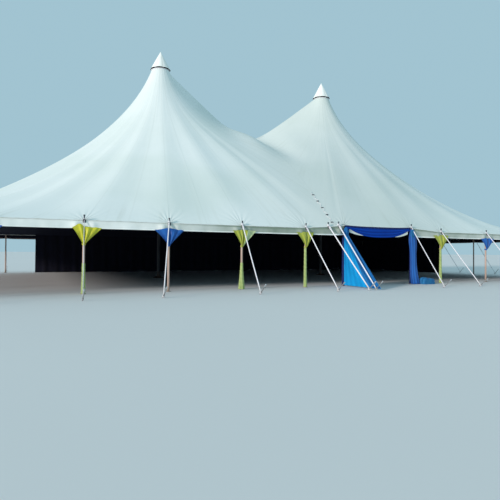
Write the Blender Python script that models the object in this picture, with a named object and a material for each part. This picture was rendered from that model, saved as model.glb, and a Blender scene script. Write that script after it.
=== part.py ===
"""Marquee tent: a pole tent with two king poles, side poles, guy ropes and stakes.

The origin is on the ground under the middle of the hall. X runs along the front, -Y is the
front side with the entrance, and Z is up. All sizes are in metres.
"""
import math

import bmesh
import bpy
import numpy as np
from mathutils import Matrix, Vector

# Plan of the hall, at the centres of the side poles
HALL_LENGTH = 33.0
HALL_WIDTH = 18.0
KING_SPACING = 11.0
SIDE_BAY = 3.0

# Entrance in the front side
ENTRANCE_CENTRE = 2.5
ENTRANCE_WIDTH = 4.0
ENTRANCE_FLANK = 2.0
ENTRANCE_LIFT = 0.15

# Heights of the canopy
EAVE_HEIGHT = 2.55
CROWN_HEIGHT = 11.74
CROWN_RADIUS = 0.50
RIDGE_SLOPE = 0.80
RIDGE_ROUNDING = 0.80
RIDGE_SLACK = 0.60
RIDGE_SLACK_WIDTH = 1.50
CANOPY_THICKNESS = 0.03
CANOPY_STIFFNESS = 0.46
CANOPY_RINGS = 9
CANOPY_GRADING = 2.2

# Caps over the two crowns
CAP_HEIGHT = 1.12
CAP_RADIUS = 0.56
CAP_LIFT = 0.03
CAP_WALL = 0.02
CAP_CEILING_RADIUS = 0.05

# Poles
KING_RADIUS = 0.09
KING_FOOT_RADIUS = 0.30
KING_SPIRE_RADIUS = 0.045
POLE_RADIUS = 0.042
POLE_FOOT_RADIUS = 0.10
FOOT_THICKNESS = 0.012
HOOP_DEPTH = 0.12
HOOP_WALL = 0.05
HUB_WALL = 0.03
SPOKE_RADIUS = 0.018

# Belt along the eave, guy ropes and stakes
BELT_WIDTH = 0.09
BELT_HEIGHT = 0.03
PIN_RADIUS = 0.014
PIN_RISE = 0.09
ROPE_RADIUS = 0.014
ROPE_TIE = 0.055
GUY_REACH = 2.2
STAKE_RADIUS = 0.02
STAKE_LENGTH = 0.58
STAKE_LEAN = math.radians(50.0)
STAKE_TIE = 0.09
STAKE_TRIM = 0.10

# Cloth around the eave; each drop is measured down from the eave
VALANCE_DROP = 0.30
VALANCE_THICKNESS = 0.012
SCARF_WIDTH = 1.05
SCARF_TOP_DROP = 0.25
SCARF_LENGTH = 0.60
SCARF_THICKNESS = 0.02
SWAG_END_DROP = 0.19
SWAG_MIDDLE_DROP = 0.54
SWAG_THICKNESS = 0.012
WING_REACH = 2.15
WING_THICKNESS = 0.02
WING_TOP_GAP = 0.05
DRAPE_WIDTH = 0.30
DRAPE_DEPTH = 0.16
POOL_WIDTH = 1.08
POOL_DEPTH = 0.34
POOL_HEIGHT = 0.30
POOL_SHIFT = 0.40

# Dark side walls, hung on a rope inside the side poles
WALL_ROPE_RADIUS = 0.012
WALL_ROPE_DROP = 0.25
WALL_TOP_DROP = 0.11
WALL_DEPTH = 0.05
WALL_BOTTOM = 0.04
REAR_WALL_START = -11.7
RIGHT_WALL_START = -0.2

# Front guys that aren't tied at a pole: how far left of the left entrance post each is tied
GUY_A_TIE = 0.85
GUY_B_TIE = 0.30

# How far along X each front stake stands from where its rope is tied
LEFT_STAKE_SHIFTS = (0.0, 0.0, -0.25, -0.80, -0.30, 0.05)
GUY_A_SHIFT = 0.40
GUY_B_SHIFT = 0.20
POST_STAKE_SHIFT = -0.30

# Clearances
FACE_GAP = 0.0003
END_CLEARANCE = 0.05
ROUND_SIDES = 12
KING_SIDES = 16
CAP_SIDES = 24

# Colours, roughness and metallic value of each finish
WHITE_PVC = ((0.83, 0.88, 0.86), 0.45, 0.0)
WHITE_ROPE = ((0.85, 0.85, 0.88), 0.80, 0.0)
DARK_CLOTH = ((0.012, 0.014, 0.035), 0.90, 0.0)
POLE_WOOD = ((0.52, 0.42, 0.33), 0.60, 0.0)
STEEL = ((0.45, 0.46, 0.47), 0.45, 0.9)
YELLOW_SATIN = ((0.72, 0.66, 0.04), 0.55, 0.0)
BLUE_SATIN = ((0.04, 0.13, 0.50), 0.55, 0.0)
CYAN_CLOTH = ((0.01, 0.36, 0.78), 0.70, 0.0)

HALF_LENGTH = HALL_LENGTH / 2
HALF_WIDTH = HALL_WIDTH / 2
KING_X = KING_SPACING / 2
POST_LEFT = ENTRANCE_CENTRE - ENTRANCE_WIDTH / 2
POST_RIGHT = ENTRANCE_CENTRE + ENTRANCE_WIDTH / 2
FLANK_LEFT = POST_LEFT - ENTRANCE_FLANK
FLANK_RIGHT = POST_RIGHT + ENTRANCE_FLANK
PIN_OFFSET = BELT_WIDTH / 2
VALANCE_BOTTOM = EAVE_HEIGHT - VALANCE_DROP
SCARF_TOP = EAVE_HEIGHT - SCARF_TOP_DROP
WALL_ROPE_HEIGHT = EAVE_HEIGHT - WALL_ROPE_DROP
WALL_TOP = EAVE_HEIGHT - WALL_TOP_DROP


def evenly(start, end, bay):
    """Positions from start to end, as near to one bay apart as fits."""
    count = max(1, round(abs(end - start) / bay))
    return [start + (end - start) * i / count for i in range(count + 1)]


LEFT_POLES = evenly(-HALF_LENGTH, FLANK_LEFT, SIDE_BAY)
RIGHT_POLES = evenly(FLANK_RIGHT, HALF_LENGTH, SIDE_BAY)
REAR_POLES = evenly(-HALF_LENGTH, HALF_LENGTH, SIDE_BAY)
END_POLES = evenly(-HALF_WIDTH, HALF_WIDTH, SIDE_BAY)[1:-1]
FRONT_LINE = LEFT_POLES + [POST_LEFT, POST_RIGHT] + RIGHT_POLES

# Each front guy: where it is tied along the front, and how far its stake stands along X from there
FRONT_GUYS = [
    (x, LEFT_STAKE_SHIFTS[i] if i < len(LEFT_STAKE_SHIFTS) else 0.0)
    for i, x in enumerate(LEFT_POLES)
]
FRONT_GUYS += [(POST_LEFT - GUY_A_TIE, GUY_A_SHIFT), (POST_LEFT - GUY_B_TIE, GUY_B_SHIFT)]
FRONT_GUYS += [(POST_RIGHT, POST_STAKE_SHIFT)] + [(x, 0.0) for x in RIGHT_POLES]

# The scarves' colours from left to right; the corner poles have none
SCARF_COLOURS = (
    BLUE_SATIN,
    YELLOW_SATIN,
    BLUE_SATIN,
    YELLOW_SATIN,
    YELLOW_SATIN,
    YELLOW_SATIN,
    BLUE_SATIN,
    YELLOW_SATIN,
)
SCARVES = list(zip(LEFT_POLES[1:] + RIGHT_POLES[:-1], SCARF_COLOURS))


def front_eave(x):
    """Height of the front eave, which the entrance posts lift."""
    raised = EAVE_HEIGHT + ENTRANCE_LIFT
    stations = [FLANK_LEFT, POST_LEFT, POST_RIGHT, FLANK_RIGHT]
    return float(np.interp(x, stations, [EAVE_HEIGHT, raised, raised, EAVE_HEIGHT]))


def pole_top(eave_at, place):
    """Height of a pole that stands just under the belt."""
    lowest = min(eave_at(place - POLE_RADIUS), eave_at(place), eave_at(place + POLE_RADIUS))
    return lowest - BELT_HEIGHT - FACE_GAP


def level_eave(_place):
    """Height of the eave on the rear side and the ends."""
    return EAVE_HEIGHT


def new_object(name, shape, finish):
    """Link a mesh as a named object with a material of its own."""
    colour, roughness, metallic = finish
    bmesh.ops.recalc_face_normals(shape, faces=shape.faces)
    mesh = bpy.data.meshes.new(name)
    shape.to_mesh(mesh)
    shape.free()
    material = bpy.data.materials.new(name + "_finish")
    material.use_nodes = True
    shader = material.node_tree.nodes["Principled BSDF"]
    shader.inputs["Base Color"].default_value = (*colour, 1.0)
    shader.inputs["Roughness"].default_value = roughness
    shader.inputs["Metallic"].default_value = metallic
    mesh.materials.append(material)
    obj = bpy.data.objects.new(name, mesh)
    bpy.context.scene.collection.objects.link(obj)
    return obj


def fuse(obj, extra):
    """Join the closed pieces in extra to the object, as one solid."""
    bmesh.ops.recalc_face_normals(extra, faces=extra.faces)
    mesh = bpy.data.meshes.new(obj.name + "_extra")
    extra.to_mesh(mesh)
    extra.free()
    tool = bpy.data.objects.new(obj.name + "_extra", mesh)
    bpy.context.scene.collection.objects.link(tool)
    modifier = obj.modifiers.new("join", "BOOLEAN")
    modifier.operation = "UNION"
    modifier.solver = "EXACT"
    modifier.use_self = True
    modifier.object = tool
    bpy.context.view_layer.update()
    seen = obj.evaluated_get(bpy.context.evaluated_depsgraph_get())
    joined = bpy.data.meshes.new_from_object(seen)
    obj.modifiers.clear()
    obj.data = joined
    bpy.data.objects.remove(tool)
    return obj


def loft(shape, rings):
    """A closed solid through rings of equally many points."""
    rows = [[shape.verts.new(point) for point in ring] for ring in rings]
    count = len(rows[0])
    for low, high in zip(rows, rows[1:]):
        for i in range(count):
            j = (i + 1) % count
            shape.faces.new((low[i], low[j], high[j], high[i]))
    shape.faces.new(rows[0][::-1])
    shape.faces.new(rows[-1])


def turned(shape, profile, centre, sides=ROUND_SIDES):
    """A closed solid turned about an upright axis; the profile starts and ends on the axis."""
    first = shape.verts.new(centre + Vector((0, 0, profile[0][1])))
    last = shape.verts.new(centre + Vector((0, 0, profile[-1][1])))
    rows = []
    for radius, height in profile[1:-1]:
        angles = [2 * math.pi * i / sides for i in range(sides)]
        ring = [centre + Vector((radius * math.cos(a), radius * math.sin(a), height)) for a in angles]
        rows.append([shape.verts.new(point) for point in ring])
    for i in range(sides):
        j = (i + 1) % sides
        shape.faces.new((first, rows[0][j], rows[0][i]))
        shape.faces.new((last, rows[-1][i], rows[-1][j]))
        for low, high in zip(rows, rows[1:]):
            shape.faces.new((low[i], low[j], high[j], high[i]))


def hoop(shape, inner, outer, low, high, centre, angles):
    """A closed ring of rectangular section, with its corners at the angles."""
    rows = []
    for angle in angles:
        out = Vector((math.cos(angle), math.sin(angle), 0))
        section = [(inner, low), (outer, low), (outer, high), (inner, high)]
        rows.append([shape.verts.new(centre + out * r + Vector((0, 0, z))) for r, z in section])
    for near, far in zip(rows, rows[1:] + rows[:1]):
        for k in range(4):
            m = (k + 1) % 4
            shape.faces.new((near[k], near[m], far[m], far[k]))


def tube(shape, start, end, radius, sides=6):
    """A straight round bar between two points."""
    along = end - start
    turn = along.to_track_quat("Z", "Y").to_matrix().to_4x4()
    place = Matrix.Translation((start + end) / 2) @ turn
    bmesh.ops.create_cone(
        shape,
        cap_ends=True,
        segments=sides,
        radius1=radius,
        radius2=radius,
        depth=along.length,
        matrix=place,
    )


def halfway(values):
    """The values with the middle of each pair added between them."""
    out = [values[0]]
    for near, far in zip(values, values[1:]):
        out += [(near + far) / 2, far]
    return out


def canopy_outline(side):
    """Edge points of one half of the canopy: (x, y, eave height, or None on the joint)."""
    front = [x for x in sorted(set(halfway(FRONT_LINE) + [0.0])) if x * side >= 0]
    rear = [x for x in sorted(set(halfway(REAR_POLES) + [0.0]), reverse=True) if x * side >= 0]
    across = halfway([-HALF_WIDTH] + END_POLES + [HALF_WIDTH])[1:-1]
    low_x, high_x = (-HALF_LENGTH, 0.0) if side < 0 else (0.0, HALF_LENGTH)
    heights = {low_x: EAVE_HEIGHT, high_x: EAVE_HEIGHT, 0.0: None}
    loop = [(x, -HALF_WIDTH, front_eave(x)) for x in front]
    loop += [(high_x, y, heights[high_x]) for y in across]
    loop += [(x, HALF_WIDTH, EAVE_HEIGHT) for x in rear]
    loop += [(low_x, y, heights[low_x]) for y in reversed(across)]
    return loop


def ridge_height(x):
    """Height of the ridge webbing, which runs down from both crowns to a rounded saddle."""
    rise = math.hypot(RIDGE_SLOPE * (KING_X - CROWN_RADIUS), RIDGE_ROUNDING)
    return CROWN_HEIGHT - rise + math.hypot(RIDGE_SLOPE * x, RIDGE_ROUNDING)


def canopy_net():
    """The canopy's seam crossings in plan, its quads by half, and the crossings of known height."""
    points, quads, known, index = [], {-1: [], 1: []}, {}, {}
    for side in (-1, 1):
        king_x = side * KING_X
        rows = []
        for x, y, height in canopy_outline(side):
            reach = math.hypot(x - king_x, y)
            row = []
            for step in range(CANOPY_RINGS + 1):
                radius = CROWN_RADIUS + (reach - CROWN_RADIUS) * (step / CANOPY_RINGS) ** CANOPY_GRADING
                place = (king_x + (x - king_x) * radius / reach, y * radius / reach)
                key = (round(place[0], 6), round(place[1], 6))
                if key not in index:
                    index[key] = len(points)
                    points.append(place)
                row.append(index[key])
            known[row[0]] = CROWN_HEIGHT
            if height is not None:
                known[row[-1]] = height
            if y == 0 and x == 0:
                known.update({index_of: ridge_height(points[index_of][0]) for index_of in row[1:]})
            rows.append(row)
        for near, far in zip(rows, rows[1:] + rows[:1]):
            for step in range(CANOPY_RINGS):
                quads[side].append((near[step], far[step], far[step + 1], near[step + 1]))
    return np.array(points), quads, known


def canopy_heights(points, quads, known):
    """Heights at which the stretched sheet is at rest between the crowns and the eaves.

    Each triangle pulls its corners level. The pull grows towards the crowns, where the webbing
    that runs down from the crown gathers, and is slack beside the ridge between the crowns.
    """
    size = len(points)
    pull = np.zeros((size, size))
    for quad in quads[-1] + quads[1]:
        for skip in range(4):
            corners = [quad[k] for k in range(4) if k != skip]
            place = points[corners]
            edges = np.array([place[2] - place[1], place[0] - place[2], place[1] - place[0]])
            area = abs(edges[0, 0] * edges[1, 1] - edges[0, 1] * edges[1, 0]) / 2
            middle = place.mean(axis=0)
            radius = min(math.hypot(middle[0] - king, middle[1]) for king in (-KING_X, KING_X))
            slack = RIDGE_SLACK * math.exp(-((middle[1] / RIDGE_SLACK_WIDTH) ** 2))
            held_by_ridge = 1 - slack if abs(middle[0]) < KING_X else 1
            weight = held_by_ridge * radius ** -CANOPY_STIFFNESS / (8 * area)
            pull[np.ix_(corners, corners)] += weight * (edges @ edges.T)
    held = sorted(known)
    held_heights = np.array([known[i] for i in held])
    free = [i for i in range(size) if i not in known]
    heights = np.zeros(size)
    heights[held] = held_heights
    load = -pull[np.ix_(free, held)] @ held_heights
    heights[free] = np.linalg.solve(pull[np.ix_(free, free)], load)
    return heights


def make_canopy():
    """Both halves of the canopy, each open at its crown, meeting at the laced joint."""
    points, quads, known = canopy_net()
    heights = canopy_heights(points, quads, known)
    for side, name in ((-1, "canopy_left"), (1, "canopy_right")):
        shape = bmesh.new()
        layers = []
        for drop in (0.0, CANOPY_THICKNESS):
            verts = {}
            for i in sorted({i for quad in quads[side] for i in quad}):
                x = points[i][0]
                if abs(x) < FACE_GAP:
                    x = side * FACE_GAP / 2
                verts[i] = shape.verts.new((x, points[i][1], heights[i] - drop))
            layers.append(verts)
        for quad in quads[side]:
            shape.faces.new([layers[0][i] for i in quad])
            shape.faces.new([layers[1][i] for i in reversed(quad)])
        rims = {}
        for quad in quads[side]:
            for start, end in zip(quad, quad[1:] + quad[:1]):
                if (end, start) in rims:
                    del rims[(end, start)]
                else:
                    rims[(start, end)] = True
        top, bottom = layers
        for start, end in rims:
            shape.faces.new((top[end], top[start], bottom[start], bottom[end]))
        new_object(name, shape, WHITE_PVC)


def make_crown(side, label):
    """One king pole with its crown ring and its cap."""
    centre = Vector((side * KING_X, 0, 0))
    cap_low = CROWN_HEIGHT + CAP_LIFT
    cap_tip = CROWN_HEIGHT + CAP_HEIGHT
    ceiling = cap_tip - 2 * CAP_WALL - CAP_CEILING_RADIUS
    sleeve_low = CROWN_HEIGHT - HOOP_DEPTH

    pole = bmesh.new()
    profile = [
        (0, 0),
        (KING_FOOT_RADIUS, 0),
        (KING_FOOT_RADIUS, FOOT_THICKNESS),
        (KING_RADIUS, FOOT_THICKNESS + KING_RADIUS),
        (KING_RADIUS, CROWN_HEIGHT),
        (KING_SPIRE_RADIUS, CROWN_HEIGHT + KING_RADIUS),
        (KING_SPIRE_RADIUS, ceiling - FACE_GAP),
        (0, ceiling - FACE_GAP),
    ]
    turned(pole, profile, centre, sides=KING_SIDES)
    new_object(f"king_pole_{label}", pole, STEEL)

    cap = bmesh.new()
    profile = [
        (0, cap_tip),
        (CAP_CEILING_RADIUS, cap_tip - CAP_WALL),
        (CAP_RADIUS, cap_low + CAP_WALL),
        (CAP_RADIUS, cap_low),
        (CAP_RADIUS - CAP_WALL, cap_low),
        (CAP_CEILING_RADIUS, ceiling),
        (0, ceiling),
    ]
    turned(cap, profile, centre, sides=CAP_SIDES)
    new_object(f"peak_cap_{label}", cap, WHITE_PVC)

    ring = bmesh.new()
    hoop_outer = CROWN_RADIUS - FACE_GAP
    seams = [math.atan2(y, x - centre.x) for x, y, _ in canopy_outline(side)]
    hoop(ring, hoop_outer - HOOP_WALL, hoop_outer, sleeve_low, CROWN_HEIGHT, centre, seams)
    crown = new_object(f"crown_ring_{label}", ring, STEEL)
    extra = bmesh.new()
    hub_inner = KING_RADIUS + FACE_GAP
    even = [2 * math.pi * i / KING_SIDES for i in range(KING_SIDES)]
    hoop(extra, hub_inner, hub_inner + HUB_WALL, sleeve_low, CROWN_HEIGHT - FACE_GAP, centre, even)
    middle = CROWN_HEIGHT - HOOP_DEPTH / 2
    for turn in range(4):
        angle = math.pi / 4 + turn * math.pi / 2
        out = Vector((math.cos(angle), math.sin(angle), 0))
        start = centre + out * (hub_inner + HUB_WALL / 2) + Vector((0, 0, middle))
        end = centre + out * (hoop_outer - HOOP_WALL / 2) + Vector((0, 0, middle))
        tube(extra, start, end, SPOKE_RADIUS)
    fuse(crown, extra)


def side_pole(shape, x, y, top):
    """One side pole on its round foot."""
    profile = [
        (0, 0),
        (POLE_FOOT_RADIUS, 0),
        (POLE_FOOT_RADIUS, FOOT_THICKNESS),
        (POLE_RADIUS, FOOT_THICKNESS + POLE_RADIUS / 2),
        (POLE_RADIUS, top),
        (0, top),
    ]
    turned(shape, profile, Vector((x, y, 0)))


def make_front_poles():
    """The side poles of the front and the two taller entrance posts, each a node of its own."""
    for number, x in enumerate(LEFT_POLES + RIGHT_POLES, start=1):
        shape = bmesh.new()
        side_pole(shape, x, -HALF_WIDTH, pole_top(front_eave, x))
        new_object(f"front_pole_{number}", shape, POLE_WOOD)
    for x, label in ((POST_LEFT, "left"), (POST_RIGHT, "right")):
        shape = bmesh.new()
        side_pole(shape, x, -HALF_WIDTH, pole_top(front_eave, x))
        new_object(f"entrance_post_{label}", shape, POLE_WOOD)


def make_pole_line(name, places, rope_start, rope_end):
    """A line of side poles with the rope that carries the side walls strung inside them."""
    shape = bmesh.new()
    tube(shape, rope_start, rope_end, WALL_ROPE_RADIUS)
    line = new_object(name, shape, POLE_WOOD)
    extra = bmesh.new()
    for x, y in places:
        side_pole(extra, x, y, pole_top(level_eave, 0.0))
    fuse(line, extra)


def make_other_poles():
    """The poles of the rear side and of the two ends."""
    inset = POLE_RADIUS - WALL_ROPE_RADIUS
    rear_y = HALF_WIDTH - inset
    half = len(REAR_POLES) // 2
    split = (REAR_POLES[half - 1] + REAR_POLES[half]) / 2
    for side, label, line in ((-1, "left", REAR_POLES[:half]), (1, "right", REAR_POLES[half:])):
        start = Vector((split + side * FACE_GAP / 2, rear_y, WALL_ROPE_HEIGHT))
        end = Vector((side * HALF_LENGTH, rear_y, WALL_ROPE_HEIGHT))
        make_pole_line(f"rear_poles_{label}", [(x, HALF_WIDTH) for x in line], start, end)
        x = side * (HALF_LENGTH - inset)
        start = Vector((x, END_POLES[0], WALL_ROPE_HEIGHT))
        end = Vector((x, END_POLES[-1], WALL_ROPE_HEIGHT))
        make_pole_line(f"{label}_poles", [(side * HALF_LENGTH, y) for y in END_POLES], start, end)


def guy(shape, anchor, out, along, shift, height):
    """A pin on the belt, the guy rope that it holds, and the rope's stake."""
    pin = anchor + out * PIN_OFFSET
    pin_low = Vector((pin.x, pin.y, height - BELT_HEIGHT / 2))
    tube(shape, pin_low, Vector((pin.x, pin.y, height + PIN_RISE)), PIN_RADIUS)
    foot = anchor + out * GUY_REACH + along * shift
    lean = (out * math.sin(STAKE_LEAN) + Vector((0, 0, math.cos(STAKE_LEAN)))).normalized()
    stake = bmesh.new()
    tube(stake, foot - lean * STAKE_TRIM, foot + lean * STAKE_LENGTH, STAKE_RADIUS, sides=8)
    everything = stake.verts[:] + stake.edges[:] + stake.faces[:]
    cut = bmesh.ops.bisect_plane(
        stake, geom=everything, plane_co=(0, 0, 0), plane_no=(0, 0, 1), clear_inner=True
    )
    edges = [item for item in cut["geom_cut"] if isinstance(item, bmesh.types.BMEdge)]
    bmesh.ops.edgeloop_fill(stake, edges=edges)
    copy = bpy.data.meshes.new("stake")
    stake.to_mesh(copy)
    stake.free()
    shape.from_mesh(copy)
    bpy.data.meshes.remove(copy)
    tie = foot + lean * STAKE_TIE
    tube(shape, Vector((pin.x, pin.y, height + ROPE_TIE)), tie, ROPE_RADIUS)


def belt(stations, out):
    """The flat belt that edges the canopy; stations are its (x, y, height) points."""
    shape = bmesh.new()
    rings = []
    for x, y, height in stations:
        near = Vector((x, y, height)) + out * FACE_GAP
        far = near + out * BELT_WIDTH
        down = Vector((0, 0, BELT_HEIGHT))
        rings.append([near, far, far - down, near - down])
    loft(shape, rings)
    return shape


def make_guy_lines():
    """Belt, pins, guy ropes and stakes, one node for each side of the hall."""
    ahead, back = Vector((0, -1, 0)), Vector((0, 1, 0))
    east = Vector((1, 0, 0))
    overrun = HALF_LENGTH + FACE_GAP + BELT_WIDTH
    xs = [-overrun] + FRONT_LINE[1:-1] + [overrun]
    stations = [(x, -HALF_WIDTH, front_eave(x)) for x in xs]
    front = new_object("front_guy_lines", belt(stations, ahead), WHITE_ROPE)
    extra = bmesh.new()
    for x, shift in FRONT_GUYS:
        guy(extra, Vector((x, -HALF_WIDTH, 0)), ahead, east, shift, front_eave(x))
    for side in (-1, 1):
        anchor = Vector((side * HALF_LENGTH, -HALF_WIDTH - FACE_GAP - BELT_WIDTH / 3, 0))
        guy(extra, anchor, east * side, ahead, 0.0, EAVE_HEIGHT)
    fuse(front, extra)

    stations = [(x, HALF_WIDTH, EAVE_HEIGHT) for x in (-overrun, overrun)]
    rear = new_object("rear_guy_lines", belt(stations, back), WHITE_ROPE)
    extra = bmesh.new()
    for x in REAR_POLES:
        guy(extra, Vector((x, HALF_WIDTH, 0)), back, east, 0.0, EAVE_HEIGHT)
    for side in (-1, 1):
        anchor = Vector((side * HALF_LENGTH, HALF_WIDTH + FACE_GAP + BELT_WIDTH / 3, 0))
        guy(extra, anchor, east * side, back, 0.0, EAVE_HEIGHT)
    fuse(rear, extra)

    for side, label in ((-1, "left"), (1, "right")):
        out = east * side
        stations = [(side * HALF_LENGTH, y, EAVE_HEIGHT) for y in (-HALF_WIDTH, HALF_WIDTH)]
        line = new_object(f"{label}_guy_lines", belt(stations, out), WHITE_ROPE)
        extra = bmesh.new()
        for y in END_POLES:
            guy(extra, Vector((side * HALF_LENGTH, y, 0)), out, back, 0.0, EAVE_HEIGHT)
        fuse(line, extra)


def valance(name, stations, out):
    """A strip of valance under the belt's outer edge."""
    shape = bmesh.new()
    rings = []
    for x, y, height in stations:
        face = Vector((x, y, 0)) + out * (FACE_GAP + BELT_WIDTH)
        back = face - out * VALANCE_THICKNESS
        top = Vector((0, 0, height - BELT_HEIGHT - FACE_GAP))
        low = Vector((0, 0, VALANCE_BOTTOM))
        rings.append([face + low, face + top, back + top, back + low])
    loft(shape, rings)
    new_object(name, shape, WHITE_PVC)


def make_valances():
    """The valances of the four sides, open at the entrance."""
    ahead, back, east = Vector((0, -1, 0)), Vector((0, 1, 0)), Vector((1, 0, 0))
    overrun = HALF_LENGTH + FACE_GAP + BELT_WIDTH
    left_end = POST_LEFT - END_CLEARANCE
    right_start = POST_RIGHT + DRAPE_WIDTH - END_CLEARANCE
    xs = [-overrun, FLANK_LEFT, left_end]
    valance("front_valance_left", [(x, -HALF_WIDTH, front_eave(x)) for x in xs], ahead)
    xs = [right_start, FLANK_RIGHT, overrun]
    valance("front_valance_right", [(x, -HALF_WIDTH, front_eave(x)) for x in xs], ahead)
    xs = [-overrun, overrun]
    valance("rear_valance", [(x, HALF_WIDTH, EAVE_HEIGHT) for x in xs], back)
    across = HALF_WIDTH + BELT_WIDTH - VALANCE_THICKNESS
    for side, label in ((-1, "left"), (1, "right")):
        stations = [(side * HALF_LENGTH, y, EAVE_HEIGHT) for y in (-across, across)]
        valance(f"{label}_valance", stations, east * side)


def make_scarves():
    """The scarves tied at the front poles, yellow or blue, hung over the valance's lower edge."""
    face = -HALF_WIDTH - FACE_GAP - BELT_WIDTH - FACE_GAP
    for number, (x, finish) in enumerate(SCARVES, start=1):
        shape = bmesh.new()
        rings = []
        for y in (face, face - SCARF_THICKNESS):
            rings.append(
                [
                    Vector((x - SCARF_WIDTH / 2, y, SCARF_TOP)),
                    Vector((x + SCARF_WIDTH / 2, y, SCARF_TOP)),
                    Vector((x + POLE_RADIUS, y, SCARF_TOP - SCARF_LENGTH)),
                    Vector((x - POLE_RADIUS, y, SCARF_TOP - SCARF_LENGTH)),
                ]
            )
        loft(shape, rings)
        new_object(f"pole_scarf_{number}", shape, finish)


def make_entrance_swag():
    """The scalloped blue swag across the entrance, hung on the belt's outer edge."""
    back = -HALF_WIDTH - FACE_GAP - BELT_WIDTH - FACE_GAP
    face = back - SWAG_THICKNESS
    top = EAVE_HEIGHT + ENTRANCE_LIFT
    reach = ENTRANCE_WIDTH / 2 - 3 * END_CLEARANCE
    shape = bmesh.new()
    rings = []
    steps = 12
    for i in range(steps + 1):
        share = 2 * i / steps - 1
        x = ENTRANCE_CENTRE + reach * share
        drop = SWAG_END_DROP + (SWAG_MIDDLE_DROP - SWAG_END_DROP) * (1 - share**2)
        low = top - drop
        rings.append([(x, face, low), (x, face, top), (x, back, top), (x, back, low)])
    loft(shape, [[Vector(point) for point in ring] for ring in rings])
    new_object("entrance_swag", shape, BLUE_SATIN)


def make_entrance_wing():
    """The blue wing wall that stands out from the left entrance post, under the guy ropes."""
    inner = -HALF_WIDTH - POLE_RADIUS - FACE_GAP
    top = EAVE_HEIGHT + ENTRANCE_LIFT - BELT_HEIGHT - WING_TOP_GAP
    shape = bmesh.new()
    rings = []
    for x in (POST_LEFT - WING_THICKNESS / 2, POST_LEFT + WING_THICKNESS / 2):
        rings.append(
            [
                Vector((x, inner - POLE_FOOT_RADIUS, WALL_BOTTOM)),
                Vector((x, inner, WALL_BOTTOM + POLE_FOOT_RADIUS)),
                Vector((x, inner, top)),
                Vector((x, inner - WING_REACH, WALL_BOTTOM)),
            ]
        )
    loft(shape, rings)
    new_object("entrance_wing", shape, CYAN_CLOTH)


def make_entrance_drape():
    """The gathered drape down the right entrance post, with its end bunched on the ground."""
    near = -HALF_WIDTH - POLE_RADIUS - FACE_GAP
    clear = POLE_FOOT_RADIUS - POLE_RADIUS
    top = EAVE_HEIGHT + ENTRANCE_LIFT - BELT_HEIGHT - WING_TOP_GAP
    # Height, width, depth, distance along X from the post, and distance out from the post
    sections = [
        (top, DRAPE_WIDTH * 0.33, DRAPE_DEPTH * 0.45, -0.04, 0.0),
        (top * 0.76, DRAPE_WIDTH * 0.73, DRAPE_DEPTH * 0.80, -0.03, 0.0),
        (top * 0.34, DRAPE_WIDTH, DRAPE_DEPTH, 0.04, 0.0),
        (POOL_HEIGHT + 0.05, DRAPE_WIDTH * 1.2, DRAPE_DEPTH * 1.25, 0.12, 0.0),
        (POOL_HEIGHT - 0.04, POOL_WIDTH * 0.85, POOL_DEPTH * 0.85, POOL_SHIFT + 0.02, clear),
        (POOL_HEIGHT * 0.33, POOL_WIDTH, POOL_DEPTH, POOL_SHIFT, clear),
        (0.0, POOL_WIDTH * 0.96, POOL_DEPTH, POOL_SHIFT, clear),
    ]
    shape = bmesh.new()
    rings = []
    for height, width, depth, along, out in sections:
        ring = []
        for i in range(ROUND_SIDES):
            angle = 2 * math.pi * i / ROUND_SIDES
            x = POST_RIGHT + along + width / 2 * math.cos(angle)
            y = near - out - depth / 2 + depth / 2 * math.sin(angle)
            ring.append(Vector((x, y, height)))
        rings.append(ring)
    loft(shape, rings)
    new_object("entrance_drape", shape, BLUE_SATIN)


def make_walls():
    """The dark walls of the rear side and of the right end, hung on their ropes."""
    inset = POLE_RADIUS + FACE_GAP
    low, high = WALL_BOTTOM, WALL_TOP
    face = HALF_WIDTH - inset
    start, end = REAR_WALL_START, HALF_LENGTH - inset - WALL_DEPTH - FACE_GAP
    shape = bmesh.new()
    rings = []
    section = [(face, low), (face, high), (face - WALL_DEPTH, high), (face - WALL_DEPTH, low)]
    for x in (start, end):
        rings.append([Vector((x, y, z)) for y, z in section])
    loft(shape, rings)
    new_object("rear_wall", shape, DARK_CLOTH)
    face = HALF_LENGTH - inset
    start, end = RIGHT_WALL_START, HALF_WIDTH - inset
    shape = bmesh.new()
    rings = []
    section = [(face, low), (face, high), (face - WALL_DEPTH, high), (face - WALL_DEPTH, low)]
    for y in (start, end):
        rings.append([Vector((x, y, z)) for x, z in section])
    loft(shape, rings)
    new_object("right_wall", shape, DARK_CLOTH)


def main():
    """Clear the scene and build the tent from the ground up."""
    for obj in list(bpy.data.objects):
        bpy.data.objects.remove(obj)
    for side, label in ((-1, "left"), (1, "right")):
        make_crown(side, label)
    make_front_poles()
    make_other_poles()
    make_canopy()
    make_guy_lines()
    make_valances()
    make_scarves()
    make_entrance_swag()
    make_entrance_wing()
    make_entrance_drape()
    make_walls()


main()
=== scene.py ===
"""Marquee tent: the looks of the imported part, in metres, in the part's own frame.

The origin is on the ground under the middle of the hall, X runs along the front, -Y is the
front with the entrance, and Z is up. Each class makes one sub-assembly and dresses it.
"""
import logging
import math
from collections.abc import Sequence
from dataclasses import dataclass, field
from enum import Enum
from typing import NamedTuple, Protocol

import bmesh
import bpy
import numpy as np
from mathutils import Matrix, Vector
from mathutils.bvhtree import BVHTree


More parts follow.
